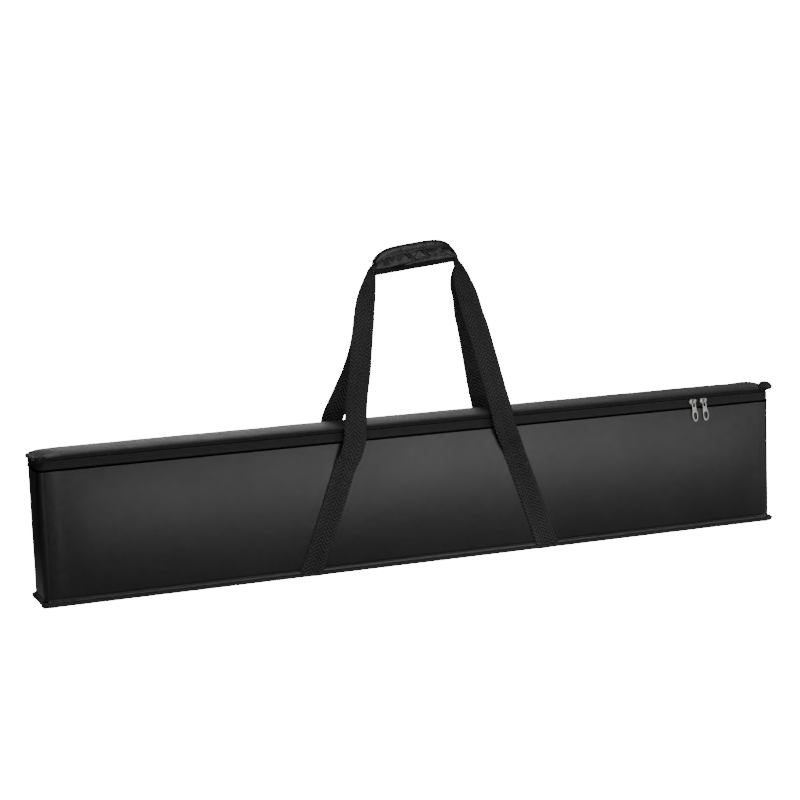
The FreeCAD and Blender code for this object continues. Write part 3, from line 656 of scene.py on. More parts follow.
def smooth_line(points: Sequence[Sequence[float]], count: int) -> np.ndarray:
    """A smooth curve through points, evenly spaced.

    Args:
        points: rows of numbers; any count of columns, the first three of them a place.
        count: how many rows to return.

    Returns:
        The rows along a centripetal Catmull-Rom curve.
    """
    knots = np.array(points, float)
    knots = np.vstack([2 * knots[0] - knots[1], knots, 2 * knots[-1] - knots[-2]])
    dense = []
    for k in range(1, len(knots) - 2):
        p = knots[k - 1:k + 3]
        t = np.concatenate([[0.0], np.cumsum(np.linalg.norm(np.diff(p[:, :3], axis=0), axis=1) ** 0.5 + 1e-9)])
        u = np.linspace(t[1], t[2], 40, endpoint=False)[:, None]
        a1 = (t[1] - u) / (t[1] - t[0]) * p[0] + (u - t[0]) / (t[1] - t[0]) * p[1]
        a2 = (t[2] - u) / (t[2] - t[1]) * p[1] + (u - t[1]) / (t[2] - t[1]) * p[2]
        a3 = (t[3] - u) / (t[3] - t[2]) * p[2] + (u - t[2]) / (t[3] - t[2]) * p[3]
        b1 = (t[2] - u) / (t[2] - t[0]) * a1 + (u - t[0]) / (t[2] - t[0]) * a2
        b2 = (t[3] - u) / (t[3] - t[1]) * a2 + (u - t[1]) / (t[3] - t[1]) * a3
        dense.append((t[2] - u) / (t[2] - t[1]) * b1 + (u - t[1]) / (t[2] - t[1]) * b2)
    rows = np.vstack([*dense, knots[-2]])
    run = np.concatenate([[0.0], np.cumsum(np.linalg.norm(np.diff(rows[:, :3], axis=0), axis=1))])
    even = np.linspace(0.0, run[-1], count)
    return np.column_stack([np.interp(even, run, rows[:, k]) for k in range(rows.shape[1])])


# ---------------------------------------------------------------------------------------- repeated shapes


class Repeat(Enum):
    """What is set again and again along a line."""

    STITCH = "stitch"
    TOOTH = "coil tooth"


class RepeatAlong:
    """Geometry Nodes that set one small shape at even steps along drawn lines."""

    def __init__(self, shape: Repeat) -> None:
        """Args: shape: what is repeated."""
        self.shape = shape
        self.tree = self.build()
        self.sockets = {item.name: item.identifier for item in self.tree.interface.items_tree
                        if item.item_type == "SOCKET" and item.in_out == "INPUT"}

    def build(self) -> bpy.types.NodeTree:
        """Builds the tree."""
        group, tree, start, end = new_group(
            f"{self.shape.name.lower()}_row", "GeometryNodeTree",
            {"Geometry": ("NodeSocketGeometry", None), "Pitch": ("NodeSocketFloat", 0.003),
             "Size": ("NodeSocketVector", None), "Material": ("NodeSocketMaterial", None)},
            {"Geometry": "NodeSocketGeometry"})
        lines = tree.add("GeometryNodeMeshToCurve", i0=start.outputs["Geometry"])
        even = tree.add("GeometryNodeResampleCurve", {"mode": "LENGTH"}, Curve=lines.outputs[0],
                        Length=start.outputs["Pitch"])
        tangent = tree.add("GeometryNodeInputTangent")
        turn = tree.add("FunctionNodeAlignRotationToVector", {"axis": "X"}, Vector=tangent.outputs[0])
        if self.shape is Repeat.STITCH:
            one = tree.add("GeometryNodeMeshUVSphere", Segments=6, Rings=4, Radius=0.5).outputs["Mesh"]
        else:
            ring = tree.add("GeometryNodeCurvePrimitiveCircle", {"mode": "RADIUS"}, Resolution=8, Radius=0.36)
            wire = tree.add("GeometryNodeCurvePrimitiveCircle", {"mode": "RADIUS"}, Resolution=4, Radius=0.16)
            bent = tree.add("GeometryNodeCurveToMesh", Curve=ring.outputs["Curve"],
                            Profile_Curve=wire.outputs["Curve"])
            one = tree.add("GeometryNodeTransform", Geometry=bent.outputs["Mesh"],
                           Rotation=(0.0, math.radians(78.0), 0.0)).outputs["Geometry"]
        row = tree.add("GeometryNodeInstanceOnPoints", Points=even.outputs["Curve"], Instance=one,
                       Rotation=turn.outputs[0], Scale=start.outputs["Size"])
        solid = tree.add("GeometryNodeRealizeInstances", i0=row.outputs["Instances"])
        shaded = tree.add("GeometryNodeSetShadeSmooth", Geometry=solid.outputs[0])
        dressed = tree.add("GeometryNodeSetMaterial", Geometry=shaded.outputs[0],
                           Material=start.outputs["Material"])
        tree.put(end.inputs["Geometry"], dressed.outputs[0])
        return group

    def run(self, name: str, lines: Iterable[np.ndarray], pitch: float, size: tuple[float, float, float],
            material: bpy.types.Material) -> bpy.types.Object:
        """Sets the shape along lines.

        Args:
            name: the new piece's name.
            lines: each an open line of points.
            pitch: distance between shapes.
            size: the shape's length along the line, width and height.
            material: its finish.

        Returns:
            A plain mesh object.
        """
        points, edges = [], []
        for line in lines:
            first = len(points)
            points += [tuple(point) for point in line]
            edges += [(k, k + 1) for k in range(first, len(points) - 1)]
        mesh = bpy.data.meshes.new(name + "_lines")
        mesh.from_pydata(points, edges, [])
        carrier = add_object(name + "_lines", mesh)
        modifier = carrier.modifiers.new("repeat", "NODES")
        modifier.node_group = self.tree
        for label, value in (("Pitch", pitch), ("Size", size), ("Material", material)):
            modifier[self.sockets[label]] = value
        made = evaluated_mesh(carrier)
        bpy.data.objects.remove(carrier)
        made.name = name
        return add_object(name, made)


class Workshop:
    """Dresses finished pieces, hangs them on their bodies and reports them."""

    def __init__(self) -> None:
        """Builds the shared node groups."""
        self.groups = ShaderGroups()
        self.stitcher = RepeatAlong(Repeat.STITCH)
        self.coiler = RepeatAlong(Repeat.TOOTH)

    def dress(self, piece: bpy.types.Object, finish: Finish | PlatedMetal, replaces: Sequence[str]) -> None:
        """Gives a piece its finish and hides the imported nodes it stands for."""
        piece.data.materials.clear()
        piece.data.materials.append(finish.material(self.groups))
        if replaces:
            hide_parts(*replaces)

    def hang(self, piece: bpy.types.Object, finish: Finish | PlatedMetal, body: str,
             replaces: Sequence[str] = ()) -> bpy.types.Object:
        """Hangs a piece on one body.

        Args:
            piece: the finished mesh.
            finish: what it is made of.
            body: the body that it moves with.
            replaces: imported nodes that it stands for.

        Returns:
            The piece.
        """
        self.dress(piece, finish, replaces)
        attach(piece, body)
        LOG.info("%s: %d faces on %s", piece.name, len(piece.data.polygons), body)
        return piece

    def bend(self, piece: bpy.types.Object, finish: Finish, bodies: tuple[str, str], start: tuple, end: tuple,
             replaces: Sequence[str] = ()) -> bpy.types.Object:
        """Dresses a cloth piece that crosses a joint and bakes its place into its mesh, without hanging it on a body.
        """
        self.dress(piece, finish, replaces)
        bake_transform(piece)
        LOG.info("%s: %d faces from %s to %s", piece.name, len(piece.data.polygons), *bodies)
        return piece

    def bunch(self, name: str, centre: tuple, half: tuple, finish: Finish, body: str, seed: float) -> None:
        """A knot of turned-in tape where an edge is folded round a corner.

        Args:
            name: the object's name.
            centre: the middle, in millimetres.
            half: half sizes along X, Y and Z, in millimetres.
            finish: what it is made of.
            body: the body it rides on.
            seed: changes the folds.
        """
        up = np.linspace(0.06, math.pi - 0.06, 26)[:, None]
        around = np.linspace(0.0, 2.0 * math.pi, 52)[None, :-1]
        ball = spread(np.sin(up) * np.cos(around), np.sin(up) * np.sin(around), np.cos(up))
        size = np.array(half) * MM
        folds = (0.95 + 0.35 * crumple(ball * size, 3.6 * MM, seed)
                 + 0.18 * crumple(ball * size, 1.6 * MM, seed + 7.0))
        rows = np.array(centre) * MM + np.sign(ball) * np.abs(ball) ** 0.8 * size * folds[..., None]
        rows[..., 2] = np.maximum(rows[..., 2], 0.02 * MM)
        self.hang(skin(name, rows, sharp=70), finish, body)

    def sew(self, name: str, lines: Iterable[np.ndarray], body: str, pitch: float, thick: float = 0.6 * MM,
            finish: Finish = THREAD, replaces: Sequence[str] = ()) -> None:
        """Sews stitches along lines and hangs them on a body.

        Args:
            name: the piece's name.
            lines: each an open line of points.
            body: the body that it moves with.
            pitch: distance from stitch to stitch.
            thick: the thread's thickness.
            finish: the thread.
            replaces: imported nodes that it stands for.
        """
        size = (STITCH_SHARE * pitch, thick, thick)
        piece = self.stitcher.run(name, lines, pitch, size, finish.material(self.groups))
        self.hang(piece, finish, body, replaces)


# ---------------------------------------------------------------------------------------- the case


@dataclass(frozen=True)
class PuffedPanel:
    """How far a padded wall stands out between its seams."""

    plan: Plan
    foot: float
    top: float
    front_puff: float = 3.0 * MM
    end_puff: float = 1.6 * MM
    ease: float = 70.0 * MM

    def puff(self, x: np.ndarray, z: np.ndarray, end: np.ndarray | float = 0.0) -> np.ndarray:
        """Distance outwards from the flat wall.

        Args:
            x: distance along the case.
            z: height.
            end: 1 on the end walls, 0 on the long ones.
        """
        rise = np.clip((np.asarray(z, float) - self.foot) / (self.top - self.foot), 0.0, 1.0)
        belly = np.sin(math.pi * rise) ** 0.9
        room = self.plan.half_length - np.abs(x)
        side = soft_step(0.0, self.ease, room)
        return belly * (self.front_puff * side * (1.0 - end) + self.end_puff * end)


@dataclass
class CaseBody:
    """The stiffened cloth belt, its base, its lining and its seams."""

    plan: Plan
    panel: PuffedPanel
    shop: Workshop
    cloth: float = 0.5 * MM
    hem: float = 10.0 * MM
    hem_puff: float = 0.9 * MM

    def build(self) -> None:
        """Builds every piece of the fixed body but the zip and webbing."""
        self.walls()
        self.base()
        self.base_binding()
        self.piping()
        self.lining()

    def relief(self, path: Path, z: np.ndarray) -> np.ndarray:
        """Distance outwards of the wall's cloth, for each path point and height."""
        x = path.xy[:, 0][:, None]
        room_x = self.plan.half_length - np.abs(path.xy[:, 0])
        end = soft_step(self.plan.radius, 0.3 * self.plan.radius, room_x)[:, None]
        inner = np.clip((np.abs(path.xy[:, 1]) - self.plan.half_depth + 0.5 * MM) / (0.5 * MM), 0, 1)
        y_share = np.clip(1.0 - np.abs(path.xy[:, 1]) / (self.plan.half_depth - self.plan.radius), 0, 1)[:, None]
        z = z[None, :]
        out = self.panel.puff(x, z, end) * np.where(end > 0.5, np.sqrt(y_share + 1e-9), inner[:, None])
        points = spread(x, path.xy[:, 1][:, None], z)
        corner = hump(0.0, 34.0 * MM, room_x)[:, None]
        long_wall = (np.abs(path.out[:, 1]) > 0.9)[:, None]
        ripple = 0.75 * hump(20.0 * MM, 3.5 * MM, room_x)[:, None] - 0.45 * hump(13.0 * MM, 3.0 * MM, room_x)[:, None]
        out = out + np.where(long_wall, ripple * MM, 0.0) * soft_step(2 * MM, 40 * MM, z)
        tall = points * np.array([1.0, 1.0, 0.3])
        out = out + 0.22 * MM * crumple(tall, 60 * MM, 3.0) + 0.3 * MM * corner * crumple(tall, 11 * MM, 7.0)
        out = out - 0.7 * MM * hump(self.hem, 0.9 * MM, z) + self.hem_puff * hump(0.55 * self.hem, 2.8 * MM, z)
        out = out + 0.25 * MM * hump(0.5 * self.hem, 4 * MM, z) * crumple(points, 5 * MM, 11.0)
        return np.maximum(out, 0.0) * soft_step(self.panel.foot - 1 * MM, self.panel.foot + 2 * MM, z)

    def walls(self) -> None:
        """The outer cloth, puffed between its seams, with a sewn hem along its foot."""
        path = self.plan.trace(Run.ROUND, 0.006, 14)
        lo, hi = self.panel.foot, self.panel.top
        heights = np.concatenate([np.linspace(lo, 16 * MM, 22), np.linspace(20 * MM, hi - 6 * MM, 26),
                                  np.linspace(hi - 4 * MM, hi, 3)])
        relief = self.relief(path, heights)
        offsets = np.concatenate([relief, relief[:, ::-1] - self.cloth], axis=1)
        up = np.concatenate([heights, heights[::-1]])
        self.shop.hang(sweep("outer_cloth", path, offsets, up), CASE_CLOTH, "case", ["outer_wrap"])
        depth = self.relief(path, np.array([self.hem]))[:, 0] + 0.12 * MM
        self.shop.sew("hem_stitches", [ring(path.raised(depth, self.hem))], "case", 3.2 * MM)

    def base(self) -> None:
        """The base cloth, with a slight sag between its edges."""
        x = self.plan.half_length * np.sin(np.linspace(-0.5, 0.5, 90) * math.pi)
        wide = self.plan.half_width(x) - 0.2 * MM
        across = np.linspace(-1.0, 1.0, 15)
        y = wide[:, None] * across[None, :]
        under = np.zeros_like(y) + 0.25 * MM * soft_step(0.7, 1.0, np.abs(across))[None, :]
        flat = spread(x[:, None], y, under)
        over = flat[:, ::-1] + np.array([0.0, 0.0, 0.9 * MM])
        piece = skin("base_cloth", np.concatenate([flat, over], axis=1))
        self.shop.hang(piece, CASE_CLOTH, "case", ["bottom_cover"])

    def ears(self, path: Path, reach: float, lift: float, middle: float) -> tuple[np.ndarray, np.ndarray]:
        """Where turned-in binding bunches at the corners.

        Args:
            path: the binding's line.
            reach: how far the bunch stands out.
            lift: how far it rises.
            middle: half the width of a bunch.

        Returns:
            (outwards, upwards) for each point.
        """
        out, up = np.zeros(len(path.xy)), np.zeros(len(path.xy))
        rough = crumple(path.raised(0.0, 0.0), 4.5 * MM, 17.0)
        for hand in Hand:
            for side in Side:
                corner = np.array([hand.value * self.plan.half_length, side.value * self.plan.half_depth])
                near = hump(0.0, middle, np.linalg.norm(path.xy - corner, axis=1) - 4 * MM)
                out += near * (reach + 0.6 * reach * rough)
                up += near * (lift + 0.7 * abs(lift) * rough)
        return out, up

    def base_binding(self) -> None:
        """The taped edge where walls and base are sewn together, bunched at its corners."""
        path = self.plan.trace(Run.ROUND, 0.004, 26)
        across, up = oval(1.9 * MM, 2.3 * MM, 14, 2.6)
        out, lift = self.ears(path, 1.8 * MM, 0.9 * MM, 11 * MM)
        points = path.raised(0.0, 0.0)
        wave = 0.25 * MM * crumple(points, 9 * MM, 23.0)
        offsets = across[None, :] + (0.6 * MM + out + wave)[:, None]
        heights = np.maximum(up[None, :] * (1.0 + 0.25 * out / MM)[:, None] + (2.35 * MM + lift)[:, None], 0.02 * MM)
        self.shop.hang(sweep("base_binding", path, offsets, heights), BINDING, "case", ["bottom_binding"])
        line = path.raised(offsets.max(axis=1) - 0.1 * MM, 3.4 * MM + 0.9 * lift)
        self.shop.sew("base_binding_stitches", [ring(line)], "case", 3.0 * MM)
        x, y = self.plan.half_length / MM, self.plan.half_depth / MM
        for side in Side:
            self.shop.bunch(f"{side.word}_left_base_knot", (2.0 - x, side.value * (y - 3.0), 3.4), (6.5, 5.5, 3.6),
                            BINDING, "case", 3.0 + side.value)
            self.shop.bunch(f"{side.word}_right_base_knot", (x - 3.5, side.value * (y - 3.0), 4.2), (7.5, 5.5, 4.4),
                            BINDING, "case", 11.0 + side.value)

    def piping(self) -> None:
        """The corded seam below the zip."""
        path = self.plan.trace(Run.ROUND, 0.006, 16)
        across, up = oval(1.0 * MM, 1.3 * MM, 12)
        wave = 0.12 * MM * crumple(path.raised(0.0, 0.0), 12 * MM, 29.0)
        offsets = across[None, :] + (0.25 * MM + wave)[:, None]
        heights = up[None, :] + (self.panel.top - 1.0 * MM) + wave[:, None]
        # The piping's near-black finish paints the shade of the seam line below the zip.
        self.shop.hang(sweep("rim_cord", path, offsets, heights), PIPING_PAINTED_SHADE, "case", ["rim_piping"])

    def lining(self) -> None:
        """The inner cloth: four walls and a floor, a little slack."""
        low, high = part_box("lining")
        path = Plan(high.x, high.y, 4 * MM).trace(Run.ROUND, 0.012, 6)
        z = np.concatenate([np.linspace(high.z - 0.2 * MM, low.z + 8 * MM, 16), np.linspace(low.z + 6 * MM, low.z, 5)])
        turn = hump(low.z, 5 * MM, z)
        points = spread(path.xy[:, 0][:, None], path.xy[:, 1][:, None], z[None, :])
        slack = 0.5 * MM * np.abs(crumple(points * np.array([1, 1, 0.5]), 50 * MM, 31.0))
        inside = -0.7 * MM - slack * soft_step(low.z, low.z + 30 * MM, z)[None, :] - 3.0 * MM * turn[None, :] ** 2
        outside = np.full_like(inside, -0.2 * MM)
        offsets = np.concatenate([inside, outside[:, ::-1]], axis=1)
        piece = sweep("inner_cloth", path, offsets, np.concatenate([z + 0.2 * MM, z[::-1]]))
        self.shop.hang(piece, LINING, "case", ["lining"])
        x = np.linspace(-high.x + 1 * MM, high.x - 1 * MM, 120)
        y = np.linspace(-high.y + 1 * MM, high.y - 1 * MM, 14)
        grid = np.stack(np.meshgrid(x, y, indexing="ij") + [np.full((len(x), len(y)), low.z + 0.5 * MM)], axis=-1)
        top = grid.copy()
        top[..., 2] += 0.3 * MM + 0.5 * MM * np.abs(crumple(grid, 40 * MM, 37.0))
        floor = skin("inner_floor_cloth", np.concatenate([grid, top[:, ::-1]], axis=1))
        self.shop.hang(floor, LINING, "case")


@dataclass
class ZipBand:
    """Both tapes of the zip, their coils, the cloth hinge and the tabs that close the zip's ends."""

    plan: Plan
    shop: Workshop
    pitch: float = 1.5 * MM

    def build(self) -> None:
        """Builds the band."""
        for label, body, tape_node, coil_node, seam_low in (
                ("body", "case", "body_zip_tape", "body_zip_coil", True),
                ("lid", "lid", "lid_zip_tape", "lid_zip_coil", False)):
            self.tape(label, body, tape_node, seam_low)
            self.coil(label, body, coil_node)
        self.hinge()
        self.end_tabs()

    def tape(self, label: str, body: str, tape_node: str, seam_low: bool) -> None:
        """One woven tape with its woven edge and a row of stitches.

        Args:
            label: body or lid.
            body: what it moves with.
            tape_node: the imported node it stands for.
            seam_low: its sewn edge is its lower one.
        """
        low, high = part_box(tape_node)
        path = self.plan.trace(Run.ZIP, 0.006, 14)
        lip = 2.15 * MM
        bottom, top = (low.z, high.z + lip) if seam_low else (low.z - lip, high.z)
        z = np.linspace(bottom, top, 12)
        rise = (z - bottom) / (top - bottom)
        sewn = 1.0 - rise if seam_low else rise
        wave = 0.15 * MM * crumple(path.raised(0.0, 0.0), 18 * MM, 41.0)
        sunk = soft_step(0.72, 0.95, sewn) * (0.3 * MM if seam_low else 1.3 * MM)
        outer = -0.15 * MM - sunk[None, :] + wave[:, None]
        offsets = np.concatenate([outer, outer[:, ::-1] - 0.6 * MM], axis=1)
        piece = sweep(f"{label}_tape", path, offsets, np.concatenate([z, z[::-1]]))
        self.shop.hang(piece, ZIP_TAPE, body, [tape_node])
        row = bottom + (0.35 if seam_low else 0.62) * (top - bottom)
        line = path.raised(-0.05 * MM + wave, row)
        self.shop.sew(f"{label}_tape_stitches", [line], body, 2.4 * MM, 0.5 * MM)

    def coil(self, label: str, body: str, coil_node: str) -> None:
        """One side of the nylon coil."""
        low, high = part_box(coil_node)
        path = self.plan.trace(Run.ZIP, 0.004, 20)
        middle = -(self.plan.half_depth - abs(low.y)) - 1.55 * MM
        line = path.raised(middle, (low.z + high.z) / 2)
        piece = self.shop.coiler.run(f"{label}_coil", [line], self.pitch, (2.0 * MM, 1.9 * MM, 1.7 * MM),
                                     ZIP_COIL.material(self.shop.groups))
        self.shop.hang(piece, ZIP_COIL, body, [coil_node])

    def hinge(self) -> None:
        """The sewn cloth hinge along the back, and its tape round the back corners."""
        case_low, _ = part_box("hinge_band")
        _, lid_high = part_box("lid_hinge_band")
        cord_low, cord_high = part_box("hinge_cord")
        pivot = (cord_low.z + cord_high.z) / 2
        path = self.plan.trace(Run.HINGE, 0.006)
        z = np.concatenate([np.linspace(case_low.z, pivot - 2.4 * MM, 5),
                            np.linspace(pivot - 2 * MM, pivot + 2 * MM, 13), [pivot + 2.4 * MM, lid_high.z]])
        over = 1.15 * MM * hump(pivot, 1.5 * MM, z)
        wave = 0.1 * MM * crumple(path.raised(0.0, 0.0), 20 * MM, 43.0)
        outer = 0.1 * MM + over[None, :] + wave[:, None]
        offsets = np.concatenate([outer, outer[:, ::-1] - 0.5 * MM], axis=1)
        piece = sweep("cloth_hinge", path, offsets, np.concatenate([z, z[::-1]]))
        self.shop.bend(piece, BINDING, ("case", "lid"), (0.0, cord_low.y, pivot - 1.2 * MM),
                       (0.0, cord_low.y, pivot + 1.2 * MM), ["hinge_band", "lid_hinge_band"])
        for hand in Hand:
            arc = self.plan.corner(hand)
            for label, body, bottom, top in (("case", "case", case_low.z, pivot - 0.15 * MM),
                                             ("lid", "lid", pivot + 0.15 * MM, lid_high.z)):
                heights = np.linspace(bottom, top, 6)
                outer = np.full((len(arc.xy), len(heights)), 0.0)
                offsets = np.concatenate([outer, outer[:, ::-1] - 0.6 * MM], axis=1)
                corner = sweep(f"{label}_{hand.word}_corner_tape", arc, offsets,
                               np.concatenate([heights, heights[::-1]]))
                self.shop.hang(corner, BINDING, body)

    def end_tabs(self) -> None:
        """The folded tabs sewn over both ends of the zip."""
        low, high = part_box("zip_end_tabs")
        for hand in Hand:
            x = hand.value * (self.plan.half_length - 0.3 * MM)
            y = np.linspace(low.y, high.y, 9)
            across, up = oval(0.9 * MM, (high.z - low.z) / 2, 20, 4.5)
            pinch = 1.0 - 0.35 * np.abs(np.linspace(-1, 1, 9)) ** 6
            rows = np.stack([np.column_stack([x + across * p, np.full(20, v), (low.z + high.z) / 2 + up * p])
                             for v, p in zip(y, pinch)])
            piece = skin(f"{hand.word}_zip_end_tab", rows, sharp=70)
            self.shop.hang(piece, CASE_CLOTH, "case", ["zip_end_tabs"] if hand is Hand.LEFT else [])


@dataclass
class Lid:
    """The padded lid: its crowned cover, the ridge of its binding, and the cloth beneath."""

    plan: Plan
    shop: Workshop
    crown: float = 4.0 * MM

    def build(self) -> None:
        """Builds the lid's pieces."""
        self.cover()
        self.board()
        self.binding()
        self.underside()

    def dip(self, xy: np.ndarray) -> np.ndarray:
        """How the lid's edge rises and sinks at its corners.

        Args:
            xy: places in plan, two numbers each along the last axis.
        """
        x, y = xy[..., 0], xy[..., 1]
        hl, hd = self.plan.half_length, self.plan.half_depth
        left = np.hypot(x + hl, y + hd)
        right = np.hypot(x - hl, y + hd)
        middle = np.clip(1.0 - (y / hd) ** 2, 0.0, 1.0)
        return MM * (-4.4 * hump(0.0, 12.5 * MM, x + hl) - 0.7 * hump(30 * MM, 12 * MM, left)
                     + 2.2 * hump(0.0, 13 * MM, right) - 0.6 * hump(32 * MM, 14 * MM, right)
                     + 3.6 * middle * hump(0.0, 22 * MM, x - hl))

    def cover(self) -> None:
        """The cover, crowned over its padding."""
        low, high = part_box("lid_cover")
        inner = self.plan.half_length - 1.3 * MM
        x = np.concatenate([-inner + 30 * MM * (1 - np.cos(np.linspace(0, 0.5, 16) * math.pi)),
                            np.linspace(-inner + 34 * MM, inner - 34 * MM, 170),
                            inner - 30 * MM * (1 - np.cos(np.linspace(0.5, 0, 16) * math.pi))])
        plan = Plan(inner, self.plan.half_depth - 1.3 * MM, self.plan.radius - 1.3 * MM)
        wide = plan.half_width(x)
        t = np.sin(np.linspace(-0.5, 0.5, 33) * math.pi)
        y = wide[:, None] * t[None, :]
        ends = np.clip((inner - np.abs(x)) / (55 * MM), 0.0, 1.0)[:, None]
        rise = self.crown * (1 - t[None, :] ** 2) ** 0.4 * np.sin(0.5 * math.pi * ends) ** 0.8
        xy = spread(x[:, None], y)
        place = np.dstack([xy, np.zeros_like(y)])
        rough = 0.35 * MM * crumple(place * np.array([0.4, 1, 1]), 22 * MM, 51.0)
        near_end = hump(0.0, 40 * MM, inner - np.abs(x))[:, None]
        rough = rough + 0.8 * MM * near_end * crumple(place, 9 * MM, 53.0) * (1 - t[None, :] ** 6)
        z = high.z - 0.6 * MM + rise + rough + self.dip(xy)
        top = np.dstack([xy, z])
        bottom = top[:, ::-1].copy()
        bottom[..., 2] = np.minimum(bottom[..., 2] - 0.6 * MM, low.z + 0.1 * MM + self.dip(xy)[:, ::-1])
        piece = skin("lid_top_cloth", np.concatenate([top, bottom], axis=1))
        self.shop.hang(piece, LID_CLOTH, "lid", ["lid_cover"])

    def binding(self) -> None:
        """The rolled edge tape, bunched and lifted at the corners."""
        low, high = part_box("lid_binding")
        path = self.plan.trace(Run.ROUND, 0.004, 26)
        across, up = oval(1.75 * MM, (high.z - low.z) / 2 - 0.15 * MM, 16, 2.6)
        points = path.raised(0.0, 0.0)
        rough = crumple(points, 4.0 * MM, 61.0)
        dip = self.dip(path.xy)
        corner = sum(hump(0.0, 12 * MM, np.linalg.norm(
            path.xy - np.array([hand.value * self.plan.half_length, side.value * self.plan.half_depth]), axis=1)
            - 3 * MM) for hand in Hand for side in Side)
        wave = 0.2 * MM * crumple(points, 14 * MM, 67.0)
        out = 0.15 * MM + wave + corner * (1.2 * MM + 0.9 * MM * rough)
        swell = 1.0 + corner * (0.35 + 0.3 * rough)
        offsets = across[None, :] * swell[:, None] + out[:, None]
        heights = up[None, :] * swell[:, None] + ((low.z + high.z) / 2 + dip + 0.6 * wave)[:, None]
        self.shop.hang(sweep("lid_edge_tape", path, offsets, heights), BINDING_LIGHT, "lid", ["lid_binding"])
        line = path.raised(offsets.max(axis=1) - 0.15 * MM, (low.z + high.z) / 2 + dip - 0.9 * MM)
        self.shop.sew("lid_edge_stitches", [ring(line)], "lid", 3.0 * MM)
        x, y = self.plan.half_length / MM, self.plan.half_depth / MM
        self.shop.bunch("lid_left_knot", (8.0 - x, 6.5 - y, 197.9), (9.0, 8.0, 3.4), FRAYED, "lid", 21.0)
        self.shop.bunch("lid_right_knot", (x - 6.5, 4.5 - y, 204.6), (11.5, 6.5, 6.4), BINDING, "lid", 25.0)

    def board(self) -> None:
        """The board inside the lid, bent a little by the drooping end."""
        low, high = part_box("lid_board")
        x = np.linspace(low.x + 2.0 * MM, high.x - 2.0 * MM, 160)
        y = Plan(high.x, high.y, 10 * MM).half_width(x)[:, None] * np.linspace(-0.96, 0.96, 9)[None, :]
        xy = spread(x[:, None], y)
        dip = self.dip(xy)
        over = np.dstack([xy, high.z - 0.3 * MM + dip])
        under = np.dstack([xy, low.z + 0.3 * MM + dip])
        piece = skin("lid_stiffener", np.concatenate([over, under[:, ::-1]], axis=1), sharp=40)
        self.shop.hang(piece, BOARD, "lid", ["lid_board"])

    def underside(self) -> None:
        """The cloth under the lid."""
        low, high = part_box("lid_lining")
        x = np.linspace(low.x, high.x, 140)
        plan = Plan(high.x, high.y, 9 * MM)
        t = np.linspace(-1, 1, 15)
        y = plan.half_width(x)[:, None] * t[None, :]
        xy = spread(x[:, None], y)
        place = np.dstack([xy, np.zeros_like(y)])
        dip = self.dip(xy)
        z = low.z + dip - 0.5 * MM * np.abs(crumple(place, 30 * MM, 71.0)) * (1 - t[None, :] ** 8)
        under = np.dstack([xy, z])
        over = under[:, ::-1].copy()
        over[..., 2] = (high.z - 0.05 * MM + dip)[:, ::-1]
        piece = skin("lid_inner_cloth", np.concatenate([under, over], axis=1))
        self.shop.hang(piece, LINING, "lid", ["lid_lining"])


# ---------------------------------------------------------------------------------------- webbing and handle


@dataclass(frozen=True)
class Strap:
    """Where one webbing runs: from the base seam, up the wall and over to the handle.

    X places are metres along the case. Each free station is (X, height, width) in millimetres.
    """

    side: Side
    hand: Hand
    foot_x: float
    fold_x: float
    free: tuple[tuple[float, float, float], ...]

    def stand(self, z: float) -> float:
        """How far from the middle plane the webbing's middle runs at a height, in metres."""
        heights = (155.5, 163.0, 203.0, 242.0, 372.0, 389.0, 405.5, 416.0)
        places = (42.6, 45.2, 45.6, 37.0, 8.5, 5.0, 2.4, 1.9)
        return float(np.interp(z, heights, places)) * MM

    def thickness(self, z: float) -> float:
        """How thick it is at a height, where it folds on itself towards the handle."""
        return float(np.interp(z, (365.0, 404.0, 416.0), (1.6, 2.8, 3.0))) * MM

    def stations(self) -> list[tuple[float, float, float, float, float]]:
        """Rows of x, distance from the middle plane, z, width and thickness, in metres."""
        return [(x * MM, self.stand(z), z * MM, w * MM, self.thickness(z)) for x, z, w in self.free]


